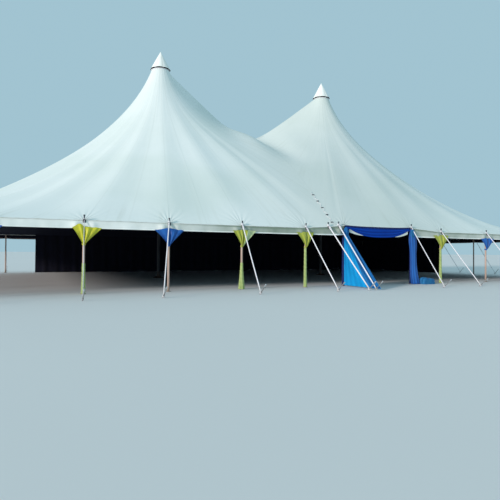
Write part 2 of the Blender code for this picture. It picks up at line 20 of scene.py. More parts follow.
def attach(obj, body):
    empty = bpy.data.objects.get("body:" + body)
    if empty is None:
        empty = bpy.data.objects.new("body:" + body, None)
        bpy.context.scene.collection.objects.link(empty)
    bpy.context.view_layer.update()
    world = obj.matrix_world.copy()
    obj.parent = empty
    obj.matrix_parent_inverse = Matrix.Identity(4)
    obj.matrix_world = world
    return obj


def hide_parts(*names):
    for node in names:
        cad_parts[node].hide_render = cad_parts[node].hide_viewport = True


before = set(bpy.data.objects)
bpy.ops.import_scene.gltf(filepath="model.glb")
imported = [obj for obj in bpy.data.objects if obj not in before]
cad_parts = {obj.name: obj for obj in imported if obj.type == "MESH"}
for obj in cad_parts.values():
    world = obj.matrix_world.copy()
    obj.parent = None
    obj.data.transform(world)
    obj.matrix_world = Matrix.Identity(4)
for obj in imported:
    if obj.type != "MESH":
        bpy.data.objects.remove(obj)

LOG = logging.getLogger("marquee")
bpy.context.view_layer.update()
RIM_ANGLE = math.radians(62.0)
FULL_TURN = 2 * math.pi
PHASES = (0.0, 6.28)
NONE_NEAR = 9.0
LONGEST_SHEET = 29.9
CLOTH_THICKNESS = 0.003
THIN_THICKNESS = 0.002
Obj = bpy.types.Object
Material = bpy.types.Material
Socket = bpy.types.NodeSocket
Pair = tuple[float, float]
Triple = tuple[float, float, float]
Colour = Triple
Feed = Socket | float | tuple
Row = float | np.ndarray


class Side(Enum):
    """A side of the hall, by the direction that it faces."""

    FRONT = (0, -1)
    REAR = (0, 1)
    LEFT = (-1, 0)
    RIGHT = (1, 0)

    @property
    def out(self) -> Vector:
        """The direction out of the hall."""
        return Vector((*self.value, 0))

    @property
    def along(self) -> Vector:
        """The direction along this side."""
        return Vector((1, 0, 0)) if self.long else Vector((0, 1, 0))

    @property
    def long(self) -> bool:
        """Whether this is one of the hall's long sides."""
        return self.value[0] == 0

    @property
    def label(self) -> str:
        """The side's name in lower case."""
        return self.name.lower()


class Hold(Enum):
    """How a sheet of cloth is held."""

    HUNG = "hung"
    GATHERED = "gathered"
    STRETCHED = "stretched"
    LAID = "laid"


@dataclass(frozen=True)
class Guy:
    """One guy rope: where it is tied to the belt, and where its stake stands."""

    anchor: Vector
    out: Vector
    along: Vector
    shift: float
    height: float
    radius: float

    def over_belt(self, out: float, up: float = 0.0) -> Vector:
        """A point at the belt.

        Args:
            out: How far outside the pole line.
            up: How far over the belt's top.
        Returns:
            The point.
        """
        spot = self.anchor + self.out * out
        return Vector((spot.x, spot.y, self.height + up))

    def stake_foot(self, reach: float) -> Vector:
        """Where the stake enters the ground, at a reach from the pole line."""
        return self.anchor + self.out * reach + self.along * self.shift


@dataclass(frozen=True)
class Plan:
    """The tent's own sizes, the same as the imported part's."""

    half_length: float = 16.5
    half_width: float = 9.0
    king_x: float = 5.5
    bay: float = 3.0
    post_left: float = 0.5
    post_right: float = 4.5
    flank: float = 2.0
    eave: float = 2.55
    lift: float = 0.15
    crown: float = 11.74
    crown_radius: float = 0.50
    cap_radius: float = 0.56
    cap_height: float = 1.12
    pole_radius: float = 0.042
    belt_width: float = 0.09
    belt_height: float = 0.03
    belt_wall: float = 0.012
    gap: float = 0.0003
    valance_low: float = 2.25
    scarf_low: float = 1.70
    guy_reach: float = 2.2
    stake_lean: float = math.radians(50.0)
    stake_length: float = 0.58
    stake_tie: float = 0.09
    rope_tie: float = 0.055
    rope_radius: float = 0.017
    right_radius: float = 0.020
    left_shifts: tuple[float, ...] = (0.0, 0.0, -0.25, -0.80, -0.30, 0.05)
    left_radii: tuple[float, ...] = (0.018, 0.018, 0.009, 0.020, 0.022, 0.022)
    twin_ties: Pair = (0.85, 0.30)
    twin_shifts: Pair = (0.40, 0.20)
    twin_radius: float = 0.027
    post_shift: float = -0.30
    rear_wall_start: float = -11.7
    right_wall_start: float = -0.2
    wall_end: float = 0.02
    # Along the front, how much darker the valance is painted: painted shade in its creases and under the
    # belt, together with soiled cloth; it also sets how far the cloth flares out.
    shade_and_wear_at: tuple[float, ...] = (-9.0, -6.2, -3.3, 0.0, 6.0, 16.0)
    shade_and_wear: tuple[float, ...] = (0.0, 0.8, 2.0, 1.8, 1.3, 1.15)

    def line(self, start: float, end: float) -> list[float]:
        """Positions along a side, as near to one bay apart as fits.

        Args:
            start: The first position.
            end: The last position.
        Returns:
            All positions in order.
        """
        count = max(1, round(abs(end - start) / self.bay))
        return [start + (end - start) * i / count for i in range(count + 1)]

    @property
    def left_poles(self) -> list[float]:
        """The front poles left of the entrance."""
        return self.line(-self.half_length, self.post_left - self.flank)

    @property
    def right_poles(self) -> list[float]:
        """The front poles right of the entrance."""
        return self.line(self.post_right + self.flank, self.half_length)

    @property
    def rear_poles(self) -> list[float]:
        """The rear poles from left to right."""
        return self.line(-self.half_length, self.half_length)

    @property
    def end_poles(self) -> list[float]:
        """The poles of each end from front to rear, without the corners."""
        return self.line(-self.half_width, self.half_width)[1:-1]

    @property
    def front_line(self) -> list[float]:
        """All front poles and both entrance posts."""
        return [*self.left_poles, self.post_left, self.post_right, *self.right_poles]

    @property
    def belt_out(self) -> float:
        """How far outside the pole line the belt's outer edge is."""
        return self.gap + self.belt_width

    @property
    def belt_face(self) -> float:
        """Where the belt's outer edge is at the front, in Y."""
        return -self.half_width - self.gap - self.belt_width

    def poles(self, side: Side) -> list[float]:
        """Where the poles of a side stand along it.

        Args:
            side: The side of the hall.
        Returns:
            The positions in order.
        """
        if side is Side.FRONT:
            return self.front_line
        return self.rear_poles if side is Side.REAR else self.end_poles

    def eave_at(self, side: Side, place: float) -> float:
        """Height of the eave on a side, which the entrance posts lift at the front.

        Args:
            side: The side of the hall.
            place: Where along the side, in X or Y.
        Returns:
            The height of the belt's top.
        """
        if side is not Side.FRONT:
            return self.eave
        posts = [self.post_left, self.post_right]
        stations = [posts[0] - self.flank, *posts, posts[1] + self.flank]
        top = self.eave + self.lift
        return float(np.interp(place, stations, [self.eave, top, top, self.eave]))

    def foot_line(self, side: Side) -> float:
        """Distance of a side's pole line from the middle."""
        return self.half_width if side.long else self.half_length

    def on_side(self, side: Side, place: float, out: float, height: float) -> Vector:
        """A point placed by a side's own directions.

        Args:
            side: The side of the hall.
            place: Where along the side.
            out: How far outside the pole line.
            height: Height over the ground.
        Returns:
            The point.
        """
        flat = side.along * place + side.out * (self.foot_line(side) + out)
        return flat + Vector((0, 0, height))

    def row(self, side: Side, *parts: Sequence[float]) -> list[tuple[float, ...]]:
        """A row of points placed by a side's own directions.

        Args:
            side: The side of the hall.
            parts: Where along the side, how far outside and how high each point is.
        Returns:
            The points.
        """
        return [tuple(self.on_side(side, *map(float, spot))) for spot in zip(*parts)]

    def guys(self, side: Side) -> list[Guy]:
        """The guy ropes of one side, with the corner ropes at the front and rear.

        Args:
            side: The side of the hall.
        Returns:
            The ropes from left to right or from front to rear.
        """
        if side is Side.FRONT:
            found = list(zip(self.left_poles, self.left_shifts, self.left_radii))
            for tie, shift in zip(self.twin_ties, self.twin_shifts):
                found.append((self.post_left - tie, shift, self.twin_radius))
            found.append((self.post_right, self.post_shift, self.right_radius))
            found += [(x, 0.0, self.right_radius) for x in self.right_poles]
        else:
            found = [(place, 0.0, self.rope_radius) for place in self.poles(side)]
        ropes = []
        for place, shift, radius in found:
            foot = self.on_side(side, place, 0.0, 0.0)
            height = self.eave_at(side, place)
            ropes.append(Guy(foot, side.out, side.along, shift, height, radius))
        if side.long:
            for end in (-1, 1):
                tie = self.on_side(side, end * self.half_length, self.gap + self.belt_width / 3, 0)
                ropes.append(Guy(tie, Vector((end, 0, 0)), side.out, 0.0, self.eave, self.rope_radius))
        return ropes


PLAN = Plan()


class Recipe:
    """The nodes of one material, added one by one."""

    def __init__(self, name: str) -> None:
        """Start a material whose shader is a Principled BSDF.

        Args:
            name: The material's name.
        """
        self.material = bpy.data.materials.new(name)
        self.material.use_nodes = True
        self.tree = self.material.node_tree
        self.shader = self.tree.nodes["Principled BSDF"]

    def feed(self, socket: Socket, value: Feed) -> None:
        """Link a socket, or set it to a plain value.

        Args:
            socket: The input to feed.
            value: Another node's output, a number, a vector or a colour.
        """
        if isinstance(value, bpy.types.NodeSocket):
            self.tree.links.new(value, socket)
        elif isinstance(value, tuple) and len(value) == 3 and socket.type == "RGBA":
            socket.default_value = (*value, 1.0)
        else:
            socket.default_value = value

    def node(self, kind: str, feeds: dict[str | int, Feed], **settings: str) -> bpy.types.Node:
        """Add a shader node.

        Args:
            kind: The node's type without its ShaderNode prefix.
            feeds: What each input gets, by name or number.
            settings: The node's own settings.
        Returns:
            The node.
        """
        made = self.tree.nodes.new("ShaderNode" + kind)
        for name, value in settings.items():
            setattr(made, name, value)
        for key, value in feeds.items():
            self.feed(made.inputs[key], value)
        return made

    def place(self) -> Socket:
        """The Object coordinates, in metres."""
        return self.node("TexCoord", {}).outputs["Object"]

    def cloth(self) -> Socket:
        """The piece's own map, in metres across and along the cloth."""
        return self.node("UVMap", {}, uv_map="cloth").outputs["UV"]

    def read(self, name: str) -> Socket:
        """A value that the mesh carries at its points."""
        return self.node("Attribute", {}, attribute_name=name).outputs["Fac"]

    def split(self, vector: Socket) -> tuple[Socket, Socket, Socket]:
        """The three parts of a vector."""
        made = self.node("SeparateXYZ", {0: vector})
        return made.outputs[0], made.outputs[1], made.outputs[2]

    def stretch(self, vector: Socket, scale: Triple) -> Socket:
        """The vector with each part multiplied."""
        return self.node("Mapping", {"Vector": vector, "Scale": scale}).outputs["Vector"]

    def step(self, operation: str, *values: Socket | float) -> Socket:
        """One arithmetic step on up to three values."""
        return self.node("Math", dict(enumerate(values)), operation=operation).outputs[0]

    def add(self, one: Socket, other: Socket | float) -> Socket:
        """The sum of two values."""
        return self.step("ADD", one, other)

    def times(self, one: Socket, other: Socket | float) -> Socket:
        """The product of two values."""
        return self.step("MULTIPLY", one, other)

    def scaled(self, value: Socket, factor: float, start: Socket | float) -> Socket:
        """A value times a factor, on top of a start."""
        return self.step("MULTIPLY_ADD", value, factor, start)

    def noise(self, vector: Socket, scale: float, detail: float = 2.0) -> Socket:
        """Soft noise.

        Args:
            vector: Where it is measured.
            scale: How many patches fit in a metre.
            detail: How many finer layers it has.
        Returns:
            The noise, from 0 to 1.
        """
        feeds = {"Vector": vector, "Scale": scale, "Detail": detail}
        return self.node("TexNoise", feeds).outputs[0]

    def fade(self, value: Socket, low: float, high: float) -> Socket:
        """A smooth step, which may run either way.

        Args:
            value: What is measured.
            low: Where the step is 0.
            high: Where it is 1.
        Returns:
            The step, from 0 to 1.
        """
        feeds = {"Value": value, "From Min": low, "From Max": high}
        return self.node("MapRange", feeds, interpolation_type="SMOOTHSTEP").outputs["Result"]

    def mix(self, share: Socket | float, low: Socket | Colour, high: Socket | Colour) -> Socket:
        """A blend of two colours."""
        return self.node("Mix", {0: share, 6: low, 7: high}, data_type="RGBA").outputs[2]

    def bump(self, height: Socket) -> None:
        """Raise the surface by a height in metres."""
        feeds = {"Height": height, "Strength": 1.0, "Distance": 1.0}
        self.feed(self.shader.inputs["Normal"], self.node("Bump", feeds).outputs[0])

    def finish(self, colour: Socket, roughness: Socket | float, **constants: float) -> Material:
        """Feed the shader and hand back the material.

        Args:
            colour: The base colour.
            roughness: The roughness.
            constants: Other inputs of the shader, by name with _ for a space, as plain numbers.
        Returns:
            The finished material.
        """
        self.feed(self.shader.inputs["Base Color"], colour)
        self.feed(self.shader.inputs["Roughness"], roughness)
        for name, value in constants.items():
            self.shader.inputs[name.replace("_", " ")].default_value = value
        return self.material


@dataclass(frozen=True)
class CanvasFinish:
    """White coated canvas with welded seams, crow's feet at the pins and faint dirt, with painted shade and
    soiling over the middle of the hall and in the joint's valley.
    """

    name: str = "coated_canvas"
    white: Colour = (0.80, 0.86, 0.84)
    shade: Colour = (0.70, 0.78, 0.74)
    dirt: Colour = (0.40, 0.42, 0.34)
    # Painted shade and soiling: a darker colour mixed in over the middle of the hall, from about X -4.5 to X
    # 11.
    shade_and_soil: Colour = (0.50, 0.56, 0.52)
    shade_and_soil_share: float = 0.42
    shade_and_soil_left: Pair = (-4.5, 0.5)
    shade_and_soil_right: Pair = (11.0, 3.0)
    # Where the painted shade and dust of the joint's valley fade out, in X.
    valley: Pair = (4.5, 0.3)
    near_eave: Pair = (1.6, 0.0)
    streaks: Pair = (0.52, 0.80)
    streak_shape: Triple = (2.6, 0.22, 1.0)
    seam_width: float = 0.035
    seam_dirt: float = 0.05
    seam_rise: float = 0.0008
    crow_reach: float = 0.42
    crow_height: float = 0.010
    crow_rays: float = 19.0
    crow_bend: float = 5.0
    ripple_shape: Triple = (0.9, 0.22, 1.0)
    ripple: float = 0.014
    grain: float = 0.0004

    def build(self) -> Material:
        """Make the material.

        Returns:
            The material.
        """
        r = Recipe(self.name)
        place, cloth = r.place(), r.cloth()
        seam, eave, across = r.read("seam"), r.read("eave"), r.read("across")
        broad = r.noise(place, 0.22, 3.0)
        streak = r.noise(r.stretch(cloth, self.streak_shape), 1.0, 4.0)
        colour = r.mix(r.fade(broad, 0.35, 0.75), self.white, self.shade)
        beside, _, _ = r.split(place)
        # Painted shade and soiling over the middle of the hall.
        shade_and_soil = r.times(r.fade(beside, *self.shade_and_soil_left), r.fade(beside, *self.shade_and_soil_right))
        colour = r.mix(r.times(shade_and_soil, self.shade_and_soil_share), colour, self.shade_and_soil)
        # Dirt streaks, stronger near the eave; in the joint's valley the darkening is painted shade as well
        # as dust.
        valley = r.fade(r.step("ABSOLUTE", beside), *self.valley)
        low = r.add(r.fade(eave, *self.near_eave), r.times(valley, 0.8))
        dirt_and_valley_shade = r.times(r.fade(streak, *self.streaks), r.scaled(low, 0.30, 0.03))
        colour = r.mix(dirt_and_valley_shade, colour, self.dirt)
        weld = r.fade(seam, self.seam_width, self.seam_width * 0.8)
        colour = r.mix(r.times(weld, self.seam_dirt), colour, self.dirt)
        reach = r.step("SQRT", r.add(r.times(across, across), r.times(eave, eave)))
        turn = r.step("ARCTAN2", across, r.add(eave, 0.02))
        rays = r.step("SINE", r.scaled(turn, self.crow_rays, r.times(streak, self.crow_bend)))
        fall = r.step("POWER", round(math.e, 3), r.times(reach, -1.0 / self.crow_reach))
        crow = r.times(r.times(rays, fall), self.crow_height)
        ripple = r.times(r.noise(r.stretch(cloth, self.ripple_shape), 1.0, 2.0), self.ripple)
        grain = r.times(r.noise(place, 90.0, 1.0), self.grain)
        r.bump(r.add(r.add(crow, ripple), r.scaled(weld, self.seam_rise, grain)))
        return r.finish(colour, r.scaled(broad, 0.15, 0.36))


@dataclass(frozen=True)
class ClothFinish:
    """Plain woven cloth, with painted shade in its folds."""

    name: str
    colour: Colour
    # The painted shade colour that the creases get.
    dark: Colour
    roughness: float = 0.55
    sheen: float = 0.3
    crease: float = 0.003
    gloss: float = 0.25
    crease_shape: Triple = (1.0, 0.3, 1.0)
    threads: float = 420.0
    thread: float = 0.0003

    def build(self) -> Material:
        """Make the material.

        Returns:
            The material.
        """
        r = Recipe(self.name)
        place, cloth = r.place(), r.cloth()
        patch = r.noise(place, 1.7, 3.0)
        # Painted shade where the mesh marks creases, plus random patches.
        shade_and_patches = r.add(r.times(r.read("fold"), 0.75), r.scaled(patch, 0.5, -0.2))
        colour = r.mix(r.node("Clamp", {0: shade_and_patches}).outputs[0], self.colour, self.dark)
        soft = r.times(r.noise(r.stretch(cloth, self.crease_shape), 9.0, 2.0), self.crease)
        weave = r.times(r.noise(cloth, self.threads, 1.0), self.thread)
        r.bump(r.add(soft, weave))
        return r.finish(colour, self.roughness, Sheen_Weight=self.sheen, Specular_IOR_Level=self.gloss)


@dataclass(frozen=True)
class StrapFinish:
    """White webbing with ribs across it and a line of stitches near each edge."""

    name: str
    colour: Colour
    dirt: Colour
    rib: float = 0.008
    rib_rise: float = 0.00025
    stitch: float = 0.03
    stitch_rise: float = 0.0008

    def build(self) -> Material:
        """Make the material.

        Returns:
            The material.
        """
        r = Recipe(self.name)
        place, cloth = r.place(), r.cloth()
        across, along, _ = r.split(cloth)
        patch = r.noise(place, 2.3, 4.0)
        colour = r.mix(r.fade(patch, 0.42, 0.85), self.colour, self.dirt)
        ribs = r.step("SINE", r.times(along, FULL_TURN / self.rib))
        edge = r.step("SINE", r.times(across, FULL_TURN / self.stitch))
        r.bump(r.add(r.times(ribs, self.rib_rise), r.times(edge, self.stitch_rise)))
        return r.finish(colour, 0.8)


@dataclass(frozen=True)
class RopeFinish:
    """Laid rope of three strands, soiled near the ground, with painted shade in its grooves."""

    name: str
    colour: Colour
    dirt: Colour
    lay: float = 0.11
    strands: float = 3.0
    strand: float = 0.003
    soiled: Pair = (0.5, 0.1)

    def build(self) -> Material:
        """Make the material.

        Returns:
            The material.
        """
        r = Recipe(self.name)
        place, cloth = r.place(), r.cloth()
        around, along, _ = r.split(cloth)
        _, _, high = r.split(place)
        twist = r.add(r.times(around, self.strands), r.step("DIVIDE", along, self.lay))
        wave = r.step("SINE", r.times(twist, FULL_TURN))
        soil = r.times(r.fade(high, *self.soiled), 0.35)
        soil = r.add(soil, r.times(r.noise(place, 6.0, 3.0), 0.14))
        # Painted shade in the grooves between the strands, mixed with the soil near the ground.
        groove_shade = r.times(r.fade(wave, 0.2, -0.9), 0.22)
        colour = r.mix(r.add(soil, groove_shade), self.colour, self.dirt)
        r.bump(r.times(wave, self.strand))
        return r.finish(colour, 0.85)


@dataclass(frozen=True)
class WoodFinish:
    """A round wooden pole with long grain, worn paler in the middle and soiled at its foot."""

    name: str = "pole_wood"
    colour: Colour = (0.62, 0.47, 0.40)
    grain: Colour = (0.36, 0.24, 0.18)
    soil: Colour = (0.16, 0.13, 0.09)
    soiled: Pair = (0.35, 0.0)
    grain_shape: Triple = (26.0, 26.0, 0.9)
    grain_rise: float = 0.0012

    def build(self) -> Material:
        """Make the material.

        Returns:
            The material.
        """
        r = Recipe(self.name)
        place = r.place()
        _, _, high = r.split(place)
        lines = r.noise(r.stretch(place, self.grain_shape), 2.0, 5.0)
        patch = r.noise(place, 1.3, 3.0)
        colour = r.mix(r.fade(lines, 0.40, 0.72), self.colour, self.grain)
        colour = r.mix(r.times(patch, 0.35), colour, self.grain)
        colour = r.mix(r.times(r.fade(high, *self.soiled), 0.7), colour, self.soil)
        r.bump(r.times(lines, self.grain_rise))
        return r.finish(colour, r.scaled(lines, 0.25, 0.5))


@dataclass(frozen=True)
class SteelFinish:
    """Galvanised steel, or near-black steel that is painted shade, with patches, rusty towards its foot."""

    name: str
    colour: Colour
    dark: Colour
    rust: Colour = (0.20, 0.085, 0.035)
    metallic: float = 0.8
    roughness: float = 0.42
    rust_height: float = 0.5

    def build(self) -> Material:
        """Make the material.

        Returns:
            The material.
        """
        r = Recipe(self.name)
        place = r.place()
        _, _, high = r.split(place)
        patch, fine = r.noise(place, 5.0, 4.0), r.noise(place, 60.0, 3.0)
        colour = r.mix(r.fade(patch, 0.35, 0.7), self.colour, self.dark)
        low = r.times(r.fade(high, self.rust_height, 0.0), r.fade(fine, 0.35, 0.62))
        colour = r.mix(r.times(low, 0.8), colour, self.rust)
        r.bump(r.times(fine, 0.0006))
        return r.finish(colour, r.scaled(patch, 0.3, self.roughness), Metallic=self.metallic)


@dataclass(frozen=True)
class FloorFinish:
    """A plain pale floor with barely visible patches."""

    name: str = "pale_floor"
    colour: Colour = (0.72, 0.73, 0.72)
    patch: Colour = (0.68, 0.69, 0.685)

    def build(self) -> Material:
        """Make the material.

        Returns:
            The material.
        """
        r = Recipe(self.name)
        colour = r.mix(r.noise(r.place(), 0.12, 3.0), self.colour, self.patch)
        return r.finish(colour, 0.9)


class Finish(Protocol):
    """What every finish can do."""

    def build(self) -> Material:
        """Make the material."""


def ready(finish: Finish) -> Material:
    """A dataclass field that holds the material which a finish makes."""
    return field(default_factory=finish.build)


@dataclass
class Finishes:
    """Every material of the tent, made once."""

    canvas: Material = ready(CanvasFinish())
    # Painted shade: the near-black inner faces of canopy, caps and valances stand in for the deep shade under
    # the roof.
    shade_lining: Material = ready(
        ClothFinish("dark_lining_as_shade", (0.012, 0.014, 0.030), (0.006, 0.007, 0.014), 0.9, 0.0)
    )
    # The trim's second colour is painted shade and soiling for the valances, its green tint a painted
    # reflection of grass.
    trim: Material = ready(ClothFinish("white_trim", (0.94, 0.97, 0.93), (0.25, 0.31, 0.24), 0.5, 0.0))
    yellow: Material = ready(ClothFinish("yellow_satin", (0.72, 0.68, 0.045), (0.34, 0.36, 0.02), 0.42))
    olive: Material = ready(ClothFinish("olive_satin", (0.46, 0.50, 0.07), (0.22, 0.27, 0.03), 0.45))
    lime: Material = ready(ClothFinish("lime_wrap", (0.44, 0.54, 0.20), (0.24, 0.34, 0.10), 0.6))
    blue: Material = ready(ClothFinish("blue_satin", (0.022, 0.15, 0.50), (0.006, 0.035, 0.20), 0.48, 0.08))
    royal: Material = ready(
        ClothFinish("royal_blue_satin", (0.001, 0.062, 0.45), (0.001, 0.022, 0.19), 0.5, 0.0, gloss=0.12)
    )
    navy: Material = ready(
        ClothFinish("navy_satin", (0.004, 0.018, 0.13), (0.002, 0.008, 0.05), 0.55, 0.05)
    )
    cyan: Material = ready(ClothFinish("cyan_cloth", (0.002, 0.33, 0.71), (0.002, 0.18, 0.48), 0.7, 0.0))
    azure: Material = ready(
        ClothFinish("azure_cloth", (0.005, 0.17, 0.46), (0.003, 0.065, 0.24), 0.6, 0.05)
    )
    sky: Material = ready(
        ClothFinish("pale_blue_cloth", (0.016, 0.18, 0.38), (0.006, 0.075, 0.23), 0.65, 0.05)
    )
    # Near-black wall cloth: partly the walls' own dark colour, partly painted shade for the dark inside the
    # tent.
    dark: Material = ready(
        ClothFinish("dark_wall_cloth_and_shade", (0.010, 0.011, 0.028), (0.003, 0.003, 0.008), 0.85, 0.0)
    )
    pale: Material = ready(ClothFinish("pale_lime_cloth", (0.62, 0.70, 0.42), (0.36, 0.46, 0.20), 0.6, 0.0))
    strap: Material = ready(StrapFinish("white_webbing", (0.80, 0.83, 0.80), (0.50, 0.53, 0.42)))
    rope: Material = ready(RopeFinish("white_rope", (0.92, 0.92, 0.97), (0.42, 0.40, 0.36)))
    wood: Material = ready(WoodFinish())
    steel: Material = ready(SteelFinish("galvanised_steel", (0.62, 0.66, 0.68), (0.42, 0.46, 0.48)))
    # Near-black steel for king poles and crown rings: painted shade for the dark under the canopy and in the
    # gap under the caps.
    painted: Material = ready(
        SteelFinish("dark_steel_as_shade", (0.030, 0.034, 0.040), (0.018, 0.02, 0.024), metallic=0.0)
    )
    iron: Material = ready(
        SteelFinish("dark_pin_steel", (0.10, 0.12, 0.14), (0.03, 0.04, 0.05), rust_height=0.1)
    )


def deselect() -> None:
    """Leave nothing selected."""
    bpy.ops.object.select_all(action="DESELECT")


def take_up(piece: Obj) -> None:
    """Select one piece alone and make it active.

    Args:
        piece: The piece.
    """
    deselect()
    piece.select_set(True)
    bpy.context.view_layer.objects.active = piece


def settle(piece: Obj) -> Obj:
    """Put the piece's place into its mesh and its object at the origin.

    Args:
        piece: The piece.
    Returns:
        The piece.
    """
    bpy.context.view_layer.update()
    piece.data.transform(piece.matrix_world)
    piece.matrix_world = Matrix.Identity(4)
    return piece


def put(name: str, mesh: bpy.types.Mesh) -> Obj:
    """Put a mesh into the scene.

    Args:
        name: The new object's name.
        mesh: The mesh.
    Returns:
        The object.
    """
    piece = bpy.data.objects.new(name, mesh)
    bpy.context.scene.collection.objects.link(piece)
    return piece


def ring_angles(count: int) -> np.ndarray:
    """The angles of the points of a closed ring."""
    return np.linspace(0, FULL_TURN, count, endpoint=False)


def crest(angle: Row) -> Row:
    """A row of folds, from 0 in a hollow to 1 on a crest."""
    return 0.5 + 0.5 * np.cos(angle)


def hump(value: Row, width: float, power: int = 2) -> Row:
    """A smooth hump that is 1 at 0 and fades over its width."""
    return np.exp(-((value / width) ** power))


def ring(middle: Pair, across: Row, deep: Row, z: Row, turn: np.ndarray) -> np.ndarray:
    """A round of points about an upright axis.

    Args:
        middle: X and Y of the axis.
        across: The radius in X.
        deep: The radius in Y.
        z: The height.
        turn: The angle of each point.
    Returns:
        The points, as columns x 3.
    """
    x, y = middle
    return np.stack([x + across * np.cos(turn), y + deep * np.sin(turn), np.zeros(len(turn)) + z], 1)


def dress(piece: Obj, slot: str, *finishes: Material) -> None:
    """Give a finished piece its materials and its body.

    Args:
        piece: The piece.
        slot: The record's material slot; not used.
        finishes: The materials, the first for the outside.
    """
    kept = [face.material_index for face in piece.data.polygons]
    piece.data.materials.clear()
    for material in finishes:
        piece.data.materials.append(material)
    piece.data.polygons.foreach_set("material_index", [min(i, len(finishes) - 1) for i in kept])
    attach(piece, "root")
    LOG.info("%s: %d faces", piece.name, len(piece.data.polygons))


def woven(
    name: str,
    points: np.ndarray,
    fold: np.ndarray | None = None,
    closed: bool = False,
    face: Vector | None = None,
) -> Obj:
    """A cloth through a grid of points, with its map in metres and its painted shade marked.

    Args:
        name: The piece's name.
        points: Rows of points, as rows x columns x 3.
        fold: How much painted shade each point gets, from 0 to 1.
        closed: Whether the last column joins the first.
        face: Where its outer face looks; without it, away from the middle of each row.
    Returns:
        The piece, one layer thick.
    """
    rows, columns = points.shape[:2]
    mesh = bpy.data.meshes.new(name)
    strips = columns if closed else columns - 1
    corners, maps = [], []
    wide = np.linalg.norm(np.diff(points, axis=1, append=points[:, :1]), axis=2).mean(0)
    long = np.linalg.norm(np.diff(points, axis=0), axis=2).mean(1)
    u = np.concatenate([[0.0], np.cumsum(wide)])
    v = np.concatenate([[0.0], np.cumsum(long)])
    for i in range(rows - 1):
        for j in range(strips):
            k = (j + 1) % columns
            here, below = i * columns, (i + 1) * columns
            corners.append((here + j, here + k, below + k, below + j))
            maps += [(u[j], v[i]), (u[j + 1], v[i]), (u[j + 1], v[i + 1]), (u[j], v[i + 1])]
    mesh.from_pydata(points.reshape(-1, 3).tolist(), [], corners)
    layer = mesh.uv_layers.new(name="cloth")
    layer.data.foreach_set("uv", np.array(maps, np.float32).ravel())
    mark(mesh, "fold", np.zeros(rows * columns) if fold is None else fold.ravel())
    mesh.polygons.foreach_set("use_smooth", [True] * len(mesh.polygons))
    middles = points.mean(1)
    total = 0.0
    for k, part in enumerate(mesh.polygons):
        away = face if face is not None else part.center - Vector(middles[k // strips])
        total += part.area * part.normal.dot(away)
    if total < 0:
        mesh.flip_normals()
    return put(name, mesh)


def mark(mesh: bpy.types.Mesh, name: str, values: np.ndarray) -> None:
    """Store a value at each point of a mesh.

    Args:
        mesh: The mesh.
        name: What the value is called.
        values: The values.
    """
    layer = mesh.attributes.new(name, "FLOAT", "POINT")
    layer.data.foreach_set("value", np.asarray(values, np.float32).ravel())


def thicken(piece: Obj, thickness: float, lined: bool = False) -> None:
    """Give a cloth its thickness, inwards from its face.

    Args:
        piece: The cloth.
        thickness: The thickness.
        lined: Whether the inner face gets the second material.
    """
    if lined:
        piece.data.materials.append(None)
        piece.data.materials.append(None)
    take_up(piece)
    wall = piece.modifiers.new("thickness", "SOLIDIFY")
    wall.thickness = thickness
    wall.offset = -1.0
    wall.material_offset = 1 if lined else 0
    bpy.ops.object.modifier_apply(modifier=wall.name)
    piece.data.set_sharp_from_angle(angle=RIM_ANGLE)


@dataclass(frozen=True)
class Cut:
    """How a cloth is cut and held: a rectangle of its own area, or a fuller one."""

    hold: Hold
    rests_on: list[str]
    ratio: float = 1.0
    fuller: float = 1.0
    run: float | None = None

    def flat(self, area: float) -> Pair:
        """The cut's width and length.

        Args:
            area: The cloth's area while it is one layer thick.
        Returns:
            The width, and the length, which is the cloth's run where that is known.
        """
        if self.run is not None:
            long = min(LONGEST_SHEET, self.run)
            return area / long, long
        width = math.sqrt(area * self.fuller / self.ratio)
        return width, width * self.ratio


def make_up(
    piece: Obj,
    slot: str,
    finishes: list[Material],
    node: str = "",
    thickness: float = CLOTH_THICKNESS,
    lined: bool = False,
) -> None:
    """Args:
        piece: The cloth, one layer thick.
        slot: The record's material slot.
        finishes: The materials, the first for the outside.
        node: The CAD node that it stands for, if there is one.
        thickness: The thickness.
        lined: Whether the inner face gets the second material.
    """
    thicken(piece, thickness, lined)
    dress(piece, slot, *finishes)
    if node:
        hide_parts(node)


